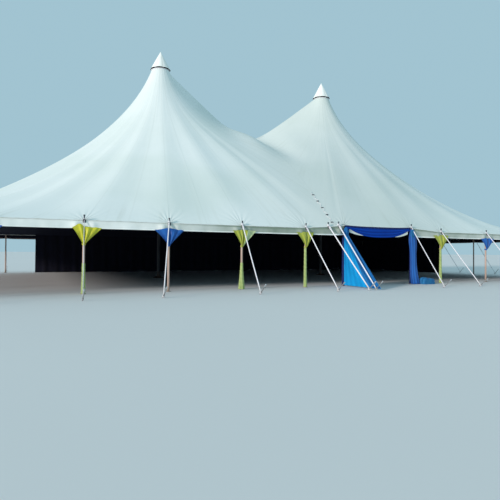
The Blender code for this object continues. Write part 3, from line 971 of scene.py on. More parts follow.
def tubes(name: str, paths: list[np.ndarray], radii: list[float], sides: int = 8) -> Obj:
    """Round closed tubes along paths, with a map around and along them.

    Args:
        name: The piece's name.
        paths: The points of each tube's middle line.
        radii: Each tube's radius.
        sides: How many sides the tubes have.
    Returns:
        The piece.
    """
    shape = bmesh.new()
    layer = shape.loops.layers.uv.new("cloth")
    turn = ring_angles(sides)
    for path, radius in zip(paths, radii):
        path = np.asarray(path, float)
        ahead = np.gradient(path, axis=0)
        ahead /= np.linalg.norm(ahead, axis=1)[:, None]
        run = np.concatenate([[0.0], np.cumsum(np.linalg.norm(np.diff(path, axis=0), axis=1))])
        side = np.cross(ahead[0], (0.0, 0.0, 1.0) if abs(ahead[0][2]) < 0.9 else (1.0, 0.0, 0.0))
        rings = []
        for point, direction in zip(path, ahead):
            side = side - direction * np.dot(side, direction)
            side /= np.linalg.norm(side)
            over = np.cross(direction, side)
            round_it = point + radius * (np.cos(turn)[:, None] * side + np.sin(turn)[:, None] * over)
            rings.append([shape.verts.new(place) for place in round_it])
        for i, (low, high) in enumerate(zip(rings, rings[1:])):
            for j in range(sides):
                k = (j + 1) % sides
                face = shape.faces.new((low[j], low[k], high[k], high[j]))
                face.smooth = True
                spots = [(j, i), (j + 1, i), (j + 1, i + 1), (j, i + 1)]
                for loop, (around, along) in zip(face.loops, spots):
                    loop[layer].uv = (around / sides, run[along])
        shape.faces.new(rings[0][::-1])
        shape.faces.new(rings[-1])
    mesh = bpy.data.meshes.new(name)
    shape.to_mesh(mesh)
    shape.free()
    return put(name, mesh)


def coil(
    start: Vector, axes: tuple[Vector, Vector, Vector], first: float, pitch: float, radius: float, turns: int
) -> np.ndarray:
    """The middle line of a rope that is wound round an axis.

    Args:
        start: Where the axis starts.
        axes: The axis, and two directions square to it.
        first: How far along the axis the coil starts.
        pitch: How far half a turn climbs.
        radius: The coil's radius.
        turns: How many turns it has.
    Returns:
        The points, twelve to a turn.
    """
    ahead, one, other = axes
    spots = []
    for angle in np.linspace(0, turns * FULL_TURN, 12 * turns + 1):
        spot = start + ahead * (first + pitch * angle / math.pi)
        spots.append(spot + (one * math.cos(angle) + other * math.sin(angle)) * radius)
    return np.array(spots)


def turned(name: str, steps: list[Pair], sides: int = 16) -> Obj:
    """A round piece, drawn up step by step from a short cylinder's top face.

    Args:
        name: The piece's name.
        steps: Radius and height of each step, from the bottom up.
        sides: How many sides the piece has.
    Returns:
        The piece, upright at the origin.
    """
    deselect()
    (radius, low), (_, high) = steps[0], steps[1]
    bpy.ops.mesh.primitive_cylinder_add(
        vertices=sides, radius=radius, depth=high - low, location=(0, 0, (low + high) / 2)
    )
    piece = settle(bpy.context.object)
    piece.name = name
    bpy.ops.object.mode_set(mode="EDIT")
    shape = bmesh.from_edit_mesh(piece.data)
    for face in shape.faces:
        face.select_set(face.normal.z > 0.9 and face.calc_center_median().z > (low + high) / 2)
    bmesh.update_edit_mesh(piece.data)
    here = radius
    for radius, height in steps[1:]:
        bpy.ops.mesh.extrude_region_move(TRANSFORM_OT_translate={"value": (0, 0, height - high)})
        bpy.ops.transform.resize(value=(radius / here, radius / here, 1), center_override=(0, 0, height))
        here, high = radius, height
    bpy.ops.object.mode_set(mode="OBJECT")
    return piece


def copies(name: str, model: Obj, places: list[Matrix]) -> Obj:
    """One piece from many copies of a model, which is used up.

    Args:
        name: The piece's name.
        model: What is copied.
        places: Where each copy stands.
    Returns:
        The joined piece.
    """
    deselect()
    for place in places:
        copy = put(name, model.data.copy())
        copy.data.transform(place)
        copy.select_set(True)
        bpy.context.view_layer.objects.active = copy
    bpy.ops.object.join()
    joined = bpy.context.view_layer.objects.active
    bpy.data.objects.remove(model)
    joined.name = name
    return joined


def smooth(piece: Obj, degrees: float = 35.0) -> Obj:
    """Shade a piece smooth, up to its sharp edges.

    Args:
        piece: The piece.
        degrees: From which angle on an edge stays sharp.
    Returns:
        The piece.
    """
    take_up(piece)
    bpy.ops.object.shade_smooth_by_angle(angle=math.radians(degrees))
    return piece


@dataclass(frozen=True)
class Station:
    """A point of the canopy's outline: a pole, or an end of the joint between the halves."""

    x: float
    y: float
    height: float | None
    pole: bool

    @property
    def hold(self) -> float:
        """How far the cloth is held up here, as a share of a bay's deepest sag."""
        return 0.55 if self.pole else 0.50


@dataclass(frozen=True)
class Span:
    """The canopy's outline from one station to the next."""

    near: Station
    far: Station

    @property
    def length(self) -> float:
        """The distance between the stations."""
        return math.hypot(self.far.x - self.near.x, self.far.y - self.near.y)

    @property
    def joint(self) -> bool:
        """Whether it runs along the joint between the halves."""
        return self.near.x == 0 and self.far.x == 0

    def at(self, w: float) -> Pair:
        """X and Y of the point at a share of the way."""
        near, far = self.near, self.far
        return near.x + (far.x - near.x) * w, near.y + (far.y - near.y) * w


class Spoke(NamedTuple):
    """A line of crossings from a crown to the outline."""

    crossings: list[int]
    run: float
    joint: bool


@dataclass
class Net:
    """The crossings of the canopy's net, each kept once."""

    places: list[Pair] = field(default_factory=list)
    slack: list[Triple] = field(default_factory=list)
    index: dict[Pair, int] = field(default_factory=dict)
    known: dict[int, float] = field(default_factory=dict)

    def crossing(self, spot: Pair, slack: Triple) -> int:
        """The number of the crossing at a place, which is added when it is new.

        Args:
            spot: Its X and Y.
            slack: How the cloth sags there.
        Returns:
            Its number.
        """
        key = (round(spot[0], 6), round(spot[1], 6))
        if key not in self.index:
            self.index[key] = len(self.places)
            self.places.append(spot)
            self.slack.append(slack)
        return self.index[key]


@dataclass
class Canopy:
    """The white canopy: two laced halves, drawn up to the crowns and out to the poles."""

    finishes: Finishes
    rings: int = 40
    grading: float = 1.75
    joint_cuts: int = 28
    bay_cuts: int = 4
    last_gap: float = 0.4
    first_height: float = 5.0
    most_steps: int = 900
    at_rest: float = 1e-9
    stiffness: float = 0.46
    ridge_slope: float = 0.80
    ridge_rounding: float = 0.80
    ridge_slack: float = 0.60
    slack_width: float = 1.50
    sag: float = 0.050
    sag_full: float = 0.45
    edge_power: int = 7
    joint_calm: float = 0.5
    valley: float = 0.30
    valley_x: float = 0.80
    shoulder: float = 0.24
    shoulder_x: float = -0.90
    dip_width: float = 0.85
    dip_reach: float = 5.0
    thickness: float = 0.006
    spare: float = 1.1
    flap_width: float = 0.20
    flap_rise: float = 0.003
    flap_end: float = 0.015
    laced: float = 1.9
    lace_start: float = 0.10
    lace_step: float = 0.125
    lace_width: float = 0.065
    lace_radius: float = 0.009
    toggle_lift: float = 0.026
    points: np.ndarray = field(init=False)
    values: dict[str, np.ndarray] = field(init=False)
    quads: dict[int, list[tuple[int, ...]]] = field(init=False)
    spokes: dict[int, list[Spoke]] = field(init=False)

    def stations(self, side: int) -> list[Station]:
        """The stations of one half's outline.

        Args:
            side: -1 for the left half and 1 for the right.
        Returns:
            The stations, anticlockwise.
        """
        p = PLAN
        front = p.left_poles if side < 0 else [p.post_left, p.post_right, *p.right_poles]
        rear = [x for x in p.rear_poles if x * side > 0][::-1]
        found = [Station(x, -p.half_width, p.eave_at(Side.FRONT, x), True) for x in front]
        back = [Station(x, p.half_width, p.eave, True) for x in rear]
        end = [Station(side * p.half_length, y, p.eave, True) for y in p.end_poles]
        low = Station(0.0, -p.half_width, p.eave_at(Side.FRONT, 0.0), False)
        high = Station(0.0, p.half_width, p.eave, False)
        middle = Station(0.0, 0.0, None, False)
        if side < 0:
            return [*found, low, middle, high, *back, *end[::-1]]
        return [low, *found, *end, *back, high, middle]

    def ridge_height(self, x: float) -> float:
        """Height of the ridge webbing between the crowns.

        Args:
            x: Where along the hall.
        Returns:
            The height.
        """
        reach = self.ridge_slope * (PLAN.king_x - PLAN.crown_radius)
        rise = math.hypot(reach, self.ridge_rounding)
        return PLAN.crown - rise + math.hypot(self.ridge_slope * x, self.ridge_rounding)

    def spoke(self, net: Net, side: int, span: Span, w: float) -> list[int]:
        """Lay a line of crossings from a crown to a point of the outline.

        Args:
            net: The net.
            side: -1 for the left half and 1 for the right.
            span: Where it meets the outline.
            w: How far along the span, from 0 to 1.
        Returns:
            The crossings, from the crown out.
        """
        near, far, king = span.near, span.far, side * PLAN.king_x
        x, y = span.at(w)
        reach = math.hypot(x - king, y)
        row = []
        for step in range(self.rings + 1):
            share = (step / self.rings) ** self.grading
            radius = PLAN.crown_radius + (reach - PLAN.crown_radius) * share
            spot = (king + (x - king) * radius / reach, y * radius / reach)
            row.append(net.crossing(spot, self.slack(span, w, radius / reach, share)))
        net.known[row[0]] = PLAN.crown
        if not span.joint or w == 0 and near.y != 0:
            facing = Side.FRONT if near.y < 0 and abs(near.y) == abs(far.y) else Side.REAR
            at_middle = None in (near.height, far.height)
            net.known[row[-1]] = near.height if at_middle else PLAN.eave_at(facing, x)
        if span.joint and near.y == 0 and w == 0:
            net.known.update({i: self.ridge_height(net.places[i][0]) for i in row[1:]})
        return row

    def weave_net(self) -> dict[int, float]:
        """Lay out the net's crossings and quads in plan.

        Returns:
            The crossings whose height is known, with their heights.
        """
        net = Net()
        self.quads, self.spokes = {-1: [], 1: []}, {-1: [], 1: []}
        for side in (-1, 1):
            stations = self.stations(side)
            run = 0.0
            for span in map(Span, stations, stations[1:] + stations[:1]):
                parts = max(1, round(span.length / (PLAN.bay / 2)))
                cuts = self.joint_cuts if span.joint else self.bay_cuts * parts
                for w in (cut / cuts for cut in range(cuts)):
                    row = self.spoke(net, side, span, w)
                    self.spokes[side].append(Spoke(row, run + span.length * w, span.joint))
                run += span.length
            rows = [spoke.crossings for spoke in self.spokes[side]]
            for near, far in zip(rows, rows[1:] + rows[:1]):
                for k in range(self.rings):
                    self.quads[side].append((near[k], near[k + 1], far[k + 1], far[k]))
        self.points = np.array([(x, y, 0.0) for x, y in net.places])
        table = np.array(net.slack)
        self.values = {"drop": table[:, 0], "seam": table[:, 1], "across": table[:, 2]}
        return net.known

    def slack(self, span: Span, w: float, ratio: float, share: float) -> Triple:
        """How the cloth sags off the lines that run from the crown to the poles.

        Args:
            span: The outline's span ahead of the point.
            w: How far along the span, from 0 to 1.
            ratio: The gore's width here over its width at the outline.
            share: Distance from the crown over the whole reach.
        Returns:
            The drop, the distance to the nearest seam, and that to the nearest pole line.
        """
        near, far, bay = span.near, span.far, span.length
        full = self.sag * PLAN.bay * ratio * min(1.0, share / self.sag_full)
        if span.joint:
            y = abs(span.at(w)[1]) / PLAN.half_width
            edge = max(0.0, min(1.0, (y - self.joint_calm) / (1 - self.joint_calm))) ** 2
            drop = -full * (1 - (share * y) ** self.edge_power) * near.hold * edge
            return drop, NONE_NEAR, NONE_NEAR
        full *= 1 - share**self.edge_power
        crisp = 0.10 + 0.50 * share * share
        bump = crisp * 4 * w * (1 - w) + (1 - crisp) * (0.5 - 0.5 * math.cos(FULL_TURN * w))
        bump *= min(1.0, bay / PLAN.bay)
        drop = full * (bump - near.hold * (1 - w) - far.hold * w)
        line = min(w if near.pole else NONE_NEAR, 1 - w if far.pole else NONE_NEAR) * bay * ratio
        between = abs(w - 0.5) * bay * ratio if bay > 2 else NONE_NEAR
        return drop, min(line, between), line

    def pulls(self) -> tuple[np.ndarray, np.ndarray, np.ndarray]:
        """How strongly the crossings of the stretched net pull on each other.

        Returns:
            The first crossing of each pull, the second one, and the pull.
        """
        quads = np.array(self.quads[-1] + self.quads[1])
        cells, pulls = [], []
        for skip in range(4):
            corners = quads[:, [k for k in range(4) if k != skip]]
            spot = self.points[corners][:, :, :2]
            edges = np.stack([spot[:, (k + 2) % 3] - spot[:, (k + 1) % 3] for k in range(3)], 1)
            area = np.abs(edges[:, 0, 0] * edges[:, 1, 1] - edges[:, 0, 1] * edges[:, 1, 0]) / 2
            middle = spot.mean(1)
            radius = np.hypot(np.abs(middle[:, 0]) - PLAN.king_x, middle[:, 1])
            calm = self.ridge_slack * hump(middle[:, 1], self.slack_width)
            held = np.where(np.abs(middle[:, 0]) < PLAN.king_x, 1 - calm, 1.0)
            weight = held * radius**-self.stiffness / (8 * np.maximum(area, 1e-9))
            pulls.append(weight[:, None, None] * (edges @ edges.transpose(0, 2, 1)))
            cells.append(corners)
        corners = np.concatenate(cells)
        row = np.repeat(corners, 3, axis=1).ravel()
        column = np.tile(corners, (1, 3)).ravel()
        return row, column, np.concatenate(pulls).reshape(-1)

    def rest(self, known: dict[int, float]) -> None:
        """Find the heights at which the stretched net is at rest, by conjugate gradients.

        Args:
            known: The crossings whose height is known.
        """
        row, column, pull = self.pulls()
        size = len(self.points)
        height = np.full(size, self.first_height)
        fixed = np.zeros(size, bool)
        for i, value in known.items():
            height[i], fixed[i] = value, True
        stiff = np.bincount(row[row == column], pull[row == column], size)
        error = -np.bincount(row, pull * height[column], size)
        error[fixed] = 0.0
        calm = error / stiff
        step, power = calm.copy(), float(error @ calm)
        for _ in range(self.most_steps):
            spread = np.bincount(row, pull * step[column], size)
            spread[fixed] = 0.0
            gain = power / float(step @ spread)
            height += gain * step
            error -= gain * spread
            calm = error / stiff
            fresh = float(error @ calm)
            if fresh < self.at_rest:
                break
            step = calm + step * fresh / power
            power = fresh
        self.points[:, 2] = height

    def relieve(self, known: dict[int, float]) -> None:
        """Let the cloth sag between its pole lines, and note how far from the eave it is.

        Args:
            known: The crossings whose height is known.
        """
        across, along = self.points[:, 0], np.abs(self.points[:, 1])
        trough = np.sin(math.pi * np.minimum(1.0, along / self.dip_reach) ** 0.75)
        dip = self.valley * hump(across - self.valley_x, self.dip_width)
        dip -= self.shoulder * hump(across - self.shoulder_x, self.dip_width)
        drop = self.values["drop"] + trough * dip
        drop[[i for i in known if abs(self.points[i, 1]) > 1e-6]] = 0.0
        self.points[:, 2] -= drop
        eave = np.zeros(len(self.points))
        for side in (-1, 1):
            for row, _, joint in self.spokes[side]:
                gaps = np.linalg.norm(np.diff(self.points[row], axis=0), axis=1)
                far = np.concatenate([np.cumsum(gaps[::-1])[::-1], [0.0]])
                if joint:
                    far = far + (PLAN.half_width - abs(self.points[row[-1], 1]))
                eave[row] = far
        self.values["eave"] = eave

    def skin(self, side: int) -> Obj:
        """One half of the canopy.

        Args:
            side: -1 for the left half and 1 for the right.
        Returns:
            The finished half.
        """
        label = "left" if side < 0 else "right"
        used = sorted({i for quad in self.quads[side] for i in quad})
        order = {i: k for k, i in enumerate(used)}
        spots = self.points[used].copy()
        on_joint = np.abs(spots[:, 0]) < 1e-6
        spots[on_joint, 0] = side * PLAN.gap / 2
        mesh = bpy.data.meshes.new(f"canopy_skin_{label}")
        faces = [tuple(order[i] for i in quad) for quad in self.quads[side]]
        mesh.from_pydata(spots.tolist(), [], faces)
        for name in ("seam", "across", "eave"):
            mark(mesh, name, self.values[name][used])
        layer = mesh.uv_layers.new(name="cloth")
        spokes, maps, eave = self.spokes[side], [], self.values["eave"]
        last = Spoke(spokes[0].crossings, spokes[-1].run + self.last_gap, True)
        for (row, run, _), (following, ahead, _) in zip(spokes, [*spokes[1:], last]):
            for j in range(self.rings):
                maps += [(run, eave[row[j]]), (run, eave[row[j + 1]])]
                maps += [(ahead, eave[following[j + 1]]), (ahead, eave[following[j]])]
        layer.data.foreach_set("uv", np.array(maps, np.float32).ravel())
        mesh.polygons.foreach_set("use_smooth", [True] * len(mesh.polygons))
        piece = put(mesh.name, mesh)
        thicken(piece, self.thickness, lined=True)
        dress(piece, "canopy_pvc", self.finishes.canvas, self.finishes.shade_lining)
        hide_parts(f"canopy_{label}")
        return piece

    def drop_on(self, halves: list[Obj], flat: np.ndarray, lift: np.ndarray) -> np.ndarray:
        """Set points down on the finished canopy.

        Args:
            halves: The canopy's halves.
            flat: X and Y of each point, as rows x columns x 2.
            lift: How far over the cloth each column stays.
        Returns:
            The points with their heights.
        """
        graph = bpy.context.evaluated_depsgraph_get()
        trees = [BVHTree.FromObject(half, graph) for half in halves]
        found = np.zeros((*flat.shape[:2], 3))
        for i, j in np.ndindex(flat.shape[:2]):
            x, y = (float(value) for value in flat[i, j])
            beside = x if abs(x) > PLAN.gap else PLAN.gap
            tree = trees[0] if beside < 0 else trees[1]
            hit = tree.ray_cast(Vector((beside, y, PLAN.crown)), Vector((0, 0, -1)))[0]
            found[i, j] = (x, y, hit.z + lift[j])
        return found

    def flap(self, halves: list[Obj]) -> None:
        """The flap welded over the joint, with its edges flush with the cloth.

        Args:
            halves: The canopy's halves.
        """
        xs = np.linspace(-1, 1, 11) * self.flap_width / 2
        reach = PLAN.half_width - self.flap_end
        ys = np.linspace(-reach, reach, 281)
        flat = np.stack(np.meshgrid(xs, ys), 2)
        inside = 1 - (2 * np.abs(xs) / self.flap_width) ** 4
        spots = self.drop_on(halves, flat, self.flap_rise * inside)
        piece = woven("canopy_joint_flap", spots, face=Vector((0, 0, 1)))
        edge = np.tile(self.flap_width / 2 - np.abs(xs), len(ys))
        nowhere = np.full(len(edge), NONE_NEAR)
        for name, values in (("seam", edge), ("across", nowhere), ("eave", nowhere)):
            mark(piece.data, name, values)
        make_up(piece, "canopy_pvc", [self.finishes.canvas], thickness=THIN_THICKNESS)

    def lace(self, halves: list[Obj]) -> None:
        """The lacing and its toggles, which show at both ends of the joint.

        Args:
            halves: The canopy's halves.
        """
        paths, knots = [], []
        for end in (-1, 1):
            first, last = PLAN.half_width - self.lace_start, PLAN.half_width - self.laced
            ys = end * np.arange(first, last, -self.lace_step)
            xs = np.where(np.arange(len(ys)) % 2, -self.lace_width, self.lace_width)
            flat = np.stack([xs, ys], 1)[:, None]
            paths.append(self.drop_on(halves, flat, np.array([self.lace_radius]))[:, 0])
            ys = ys[1::3] + self.lace_step / 2 * end
            flat = np.stack([ys * 0, ys], 1)[:, None]
            seats = self.drop_on(halves, flat, np.array([self.toggle_lift]))
            knots += [Matrix.Translation(seat) for seat in seats[:, 0]]
        lacing = tubes("canopy_lacing", paths, [self.lace_radius] * 2, 6)
        dress(lacing, "belt_and_rope", self.finishes.rope)
        steps = [(0.015, -0.062), (0.023, -0.045), (0.019, -0.010), (0.014, 0.0)]
        steps += [(0.019, 0.010), (0.023, 0.045), (0.015, 0.062)]
        model = smooth(turned("toggle", steps, 10))
        model.data.transform(Matrix.Rotation(math.pi / 2, 4, "Y"))
        toggles = copies("lacing_toggles", model, knots)
        dress(toggles, "steel", self.finishes.iron)

    def build(self) -> None:
        """Make the canopy's two halves, the flap over their joint, and its lacing."""
        known = self.weave_net()
        self.rest(known)
        self.relieve(known)
        halves = [self.skin(side) for side in (-1, 1)]
        self.flap(halves)
        self.lace(halves)


@dataclass
class Crown:
    """One crown: the cap, its hem and ties, and the canopy's edge rope on the crown ring."""

    finishes: Finishes
    side: int
    hem_lift: float = 0.075
    gores: int = 8
    taper: float = 0.94
    bulge: float = 0.035
    scallop: float = 0.012
    tip_radius: float = 0.012
    thickness: float = 0.006
    edge_out: float = 0.012
    edge_radius: float = 0.016
    tie_radius: float = 0.006

    @property
    def label(self) -> str:
        """Which crown this is."""
        return "left" if self.side < 0 else "right"

    @property
    def centre(self) -> Vector:
        """The middle of the crown ring."""
        return Vector((self.side * PLAN.king_x, 0, PLAN.crown))

    def cap(self) -> None:
        """The cone cap of eight gores, with a hem."""
        turn = ring_angles(64)
        seam = np.abs(np.sin(turn * self.gores / 2))
        rows, folds = [], []
        for share in np.concatenate([[0.0, 0.025, 0.05], np.linspace(0.1, 1, 16)]):
            z = self.centre.z + self.hem_lift + (PLAN.cap_height - self.hem_lift) * share
            z = z + (self.scallop * seam if share == 0 else 0.0)
            radius = max(PLAN.cap_radius * (1 - share) ** self.taper, self.tip_radius)
            hem = 1.012 if share < 0.04 else 1.0
            radius = radius * (1 - self.bulge * (1 - seam) ** 2 * (1 - share)) * hem
            rows.append(ring(self.centre.xy, radius, radius, z, turn))
            # Painted shade in the creases at the gore seams.
            folds.append((1 - seam) ** 6 * 0.4)
        piece = woven(f"cap_{self.label}", np.array(rows), np.array(folds), closed=True)
        cloths = [self.finishes.trim, self.finishes.shade_lining]
        make_up(piece, "canopy_pvc", cloths, f"peak_cap_{self.label}", self.thickness, lined=True)
        steps = [(0.02, -0.05), (0.022, -0.03), (0.016, -0.02), (0.008, -0.004)]
        tip = turned(f"cap_tip_{self.label}", steps, 12)
        tip.data.transform(Matrix.Translation(self.centre + Vector((0, 0, PLAN.cap_height))))
        dress(smooth(tip), "steel", self.finishes.steel)

    def ties(self) -> None:
        """The edge rope of the canopy's opening, and the cords that hold the cap down."""
        radius = PLAN.crown_radius + self.edge_out
        turn = np.linspace(0, FULL_TURN, 49)
        paths = [ring(self.centre.xy, radius, radius, self.centre.z + self.edge_out, turn)]
        for gore in range(self.gores):
            angle = FULL_TURN * gore / self.gores
            out = np.array((math.cos(angle), math.sin(angle), 0.0))
            top = np.array(self.centre) + out * (PLAN.cap_radius - 0.03) + (0, 0, self.hem_lift + 0.02)
            low = np.array(self.centre) + out * (PLAN.crown_radius + 0.03)
            paths.append(np.array([top, (top + low) / 2 + out * self.tie_radius, low]))
        radii = [self.edge_radius] + [self.tie_radius] * self.gores
        piece = tubes(f"crown_ropes_{self.label}", paths, radii)
        dress(piece, "belt_and_rope", self.finishes.rope)

    def build(self) -> None:
        """Make the crown's pieces."""
        self.cap()
        self.ties()


@dataclass
class Eave:
    """The belt, valances, pins, guy ropes and stakes of one side."""

    finishes: Finishes
    side: Side
    belt_step: float = 0.12
    valance_step: float = 0.06
    waves: tuple[Pair, ...] = ((2.1, 0.006), (5.3, 0.006), (9.7, 0.005), (17.0, 0.002))
    puffs: tuple[Triple, ...] = ((0.055, -0.27, 0.13), (0.03, 0.3, 0.1))
    raised_hem: float = 0.020
    raised_width: float = 0.35
    flare: float = 0.10
    calm_shade_and_wear: float = 0.35
    plain_shade: float = 0.62
    shades: dict[float, float] = field(
        default_factory=lambda: {0.0: 1.0, 0.10: 1.0, 0.14: 0.85, 0.87: 0.0, 1.0: 0.05}
    )
    plate_out: float = 0.014
    rope_sag: float = 0.02
    loop_radius: float = 0.014
    loop_share: float = 0.7
    knot_start: float = 0.10
    knot_pitch: float = 0.014
    knot_share: float = 0.5
    hitch_pitch: float = 0.009
    hitch_share: float = 0.6

    def belt(self) -> None:
        """The webbing belt along the eave."""
        p, side = PLAN, self.side
        reach = p.half_length + p.belt_out if side.long else p.half_width
        section = [(0.0, 0.0), (0.3, 0.003), (0.8, 0.0), (0.97, -0.006), (1.0, -0.015)]
        section += [(0.97, -0.024), (0.8, -0.03), (0.0, -0.03)]
        rows = []
        for place in np.linspace(-reach, reach, int(reach * 2 / self.belt_step) + 1):
            outs = [p.gap + p.belt_width * out for out, _ in section]
            heights = [p.eave_at(side, float(place)) + drop for _, drop in section]
            rows.append(p.row(side, [place] * len(section), outs, heights))
        piece = woven(f"{side.label}_belt", np.array(rows), closed=True)
        self.close_ends(piece)
        dress(piece, "belt_and_rope", self.finishes.strap)
        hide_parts(f"{side.label}_guy_lines")

    def close_ends(self, piece: Obj) -> None:
        """Fill a tube's open ends and turn its faces outwards.

        Args:
            piece: The tube.
        """
        take_up(piece)
        bpy.ops.object.mode_set(mode="EDIT")
        bpy.ops.mesh.select_all(action="DESELECT")
        bpy.ops.mesh.select_non_manifold()
        bpy.ops.mesh.edge_face_add()
        bpy.ops.mesh.select_all(action="SELECT")
        bpy.ops.mesh.normals_make_consistent(inside=False)
        bpy.ops.object.mode_set(mode="OBJECT")

    def valance(self, name: str, start: float, end: float, seed: int) -> None:
        """One strip of valance, hung under the belt's outer edge.

        Args:
            name: The CAD node that it stands for.
            start: Where along the side it starts.
            end: Where it ends.
            seed: Chooses its folds.
        """
        p, side = PLAN, self.side
        rng = np.random.default_rng(seed)
        line = np.linspace(start, end, int((end - start) / self.valance_step) + 1)
        phase = rng.uniform(*PHASES, 4)
        wave = sum(np.sin(line * pitch + turn) * size for (pitch, size), turn in zip(self.waves, phase))
        away = line[:, None] - np.array(p.poles(side))
        bulge = sum(size * hump(away - place, width) for size, place, width in self.puffs).sum(1)
        shade_and_wear = np.full(len(line), self.calm_shade_and_wear)
        if side is Side.FRONT:
            shade_and_wear = np.interp(line, p.shade_and_wear_at, p.shade_and_wear)
        tops = np.array([p.eave_at(side, float(x)) for x in line]) - p.belt_height - p.gap
        lows = p.valance_low + self.raised_hem * hump(np.abs(away).min(1), self.raised_width)
        rows, folds = [], []
        for share in (0.0, 0.10, 0.14, 0.30, 0.5, 0.7, 0.84, 0.87, 1.0):
            out = p.belt_out - p.belt_wall + (wave + 0.5 * bulge) * share
            out = out + bulge * math.sin(math.pi * share) + (0.003 if share in (0.87, 1.0) else 0.0)
            if side is Side.FRONT:
                out = out + self.flare * np.maximum(0.0, 1 - shade_and_wear) * share
            rows.append(p.row(side, line, out, tops + (lows - tops) * share))
            # Painted shade, darkest in the belt's shadow at the top and lightest at the hem, scaled along the
            # side together with soiling.
            folds.append(self.shades.get(share, self.plain_shade) * (0.12 + 0.88 * shade_and_wear))
        piece = woven(f"{name}_cloth", np.array(rows), np.array(folds), face=side.out)
        make_up(piece, "canopy_pvc", [self.finishes.trim, self.finishes.shade_lining], name, lined=True)

    def valances(self) -> None:
        """All valances of this side."""
        p, side = PLAN, self.side
        run = p.half_length + p.gap + p.belt_width
        if side is Side.FRONT:
            self.valance("front_valance_left", -run, p.post_left - 0.05, 1)
            self.valance("front_valance_right", p.post_right + 0.10, run, 2)
        elif side is Side.REAR:
            self.valance("rear_valance", -run, run, 3)
        else:
            across = p.half_width + p.belt_width - p.belt_wall
            self.valance(f"{side.label}_valance", -across, across, 4 if side is Side.LEFT else 5)

    def pins(self) -> None:
        """The steel pins that stand through the belt at each guy rope."""
        p = PLAN
        places = [Matrix.Translation(guy.over_belt(p.belt_width / 2)) for guy in p.guys(self.side)]
        steps = [(0.016, -0.04), (0.016, 0.002), (0.045, 0.003), (0.045, 0.010), (0.026, 0.012)]
        steps += [(0.026, 0.150), (0.038, 0.154), (0.038, 0.172), (0.031, 0.180), (0.012, 0.185)]
        model = smooth(turned("pin", steps, 12))
        piece = copies(f"{self.side.label}_pins", model, places)
        dress(piece, "steel", self.finishes.iron)

    def plates(self) -> None:
        """The steel plates over the belt under each pin, with a raised rim."""
        p = PLAN
        deselect()
        bpy.ops.mesh.primitive_cube_add(size=1, scale=(0.10, 0.012, 0.11), location=(0, 0, -0.045))
        model = settle(bpy.context.object)
        model.name = "plate"
        bpy.ops.object.mode_set(mode="EDIT")
        bpy.ops.mesh.select_mode(type="EDGE")
        bpy.ops.mesh.select_all(action="SELECT")
        bpy.ops.mesh.bevel(offset=0.004, segments=2)
        shape = bmesh.from_edit_mesh(model.data)
        front = max(shape.faces, key=lambda face: face.calc_area() * (face.normal.y < -0.9))
        for face in shape.faces:
            face.select_set(face is front)
        bmesh.update_edit_mesh(model.data)
        bpy.ops.mesh.inset(thickness=0.014)
        bpy.ops.mesh.extrude_region_move(TRANSFORM_OT_translate={"value": (0, 0.006, 0)})
        bpy.ops.object.mode_set(mode="OBJECT")
        smooth(model, 30)
        places = []
        for guy in p.guys(self.side):
            turn = Matrix((guy.along, -guy.out, Vector((0, 0, 1)))).transposed().to_4x4()
            spot = guy.over_belt(p.belt_width + p.gap + self.plate_out)
            places.append(Matrix.Translation(spot) @ turn)
        piece = copies(f"{self.side.label}_plates", model, places)
        dress(piece, "steel", self.finishes.iron)

    def ropes(self) -> None:
        """The guy ropes, each looped over its pin and hitched to its stake."""
        p = PLAN
        paths, radii = [], []
        for guy in p.guys(self.side):
            r, high = guy.radius, Vector((0, 0, 1))
            top = guy.over_belt(p.belt_width / 2, p.rope_tie)
            foot = guy.stake_foot(p.guy_reach)
            lean = (guy.out * math.sin(p.stake_lean) + high * math.cos(p.stake_lean)).normalized()
            tie = foot + lean * p.stake_tie
            away = (tie - top).normalized()
            start = top + away * 0.03
            sags = [(w, self.rope_sag * math.sin(math.pi * w)) for w in np.linspace(0, 1, 13)]
            paths.append(np.array([start.lerp(tie, w) - high * sag for w, sag in sags]))
            radii.append(r)
            wide = self.loop_radius + r
            for lift in (0.0, 1.5 * r):
                turn = np.linspace(0, FULL_TURN, 17)
                loop = [(math.cos(a) * wide, math.sin(a) * wide, lift - r) for a in turn]
                paths.append(np.array([top + Vector(spot) for spot in loop]))
                radii.append(r * self.loop_share)
            beside = away.cross(high).normalized()
            over = beside.cross(away)
            paths.append(coil(top, (away, beside, over), self.knot_start, self.knot_pitch, r * 1.25, 5))
            radii.append(r * self.knot_share)
            low, flat = p.stake_tie - 0.03, lean.cross(guy.along).normalized()
            paths.append(coil(foot, (lean, guy.along, flat), low, self.hitch_pitch, 0.02 + r * 0.6, 3))
            radii.append(r * self.hitch_share)
        piece = tubes(f"{self.side.label}_ropes", paths, radii)
        dress(piece, "belt_and_rope", self.finishes.rope)

    def stakes(self) -> None:
        """The steel stakes, leaning away from the tent, with their driven heads."""
        p = PLAN
        made = []
        for guy in p.guys(self.side):
            tilt = Matrix.Rotation(p.stake_lean, 4, Vector((0, 0, 1)).cross(guy.out))
            made.append(Matrix.Translation(guy.stake_foot(p.guy_reach)) @ tilt)
        head = [(0.018, 0.07), (0.027, 0.065), (0.027, 0.055), (0.020, 0.05), (0.020, 0.02), (0.026, 0.012)]
        head += [(0.022, 0.002)]
        steps = [(0.018, -0.1)] + [(radius, p.stake_length - low) for radius, low in head]
        model = smooth(turned("stake", steps, 14))
        piece = copies(f"{self.side.label}_stakes", model, made)
        bpy.ops.object.mode_set(mode="EDIT")
        bpy.ops.mesh.select_all(action="SELECT")
        bpy.ops.mesh.bisect(plane_co=(0, 0, 0.0005), plane_no=(0, 0, 1), use_fill=True, clear_inner=True)
        bpy.ops.object.mode_set(mode="OBJECT")
        dress(piece, "steel", self.finishes.steel)

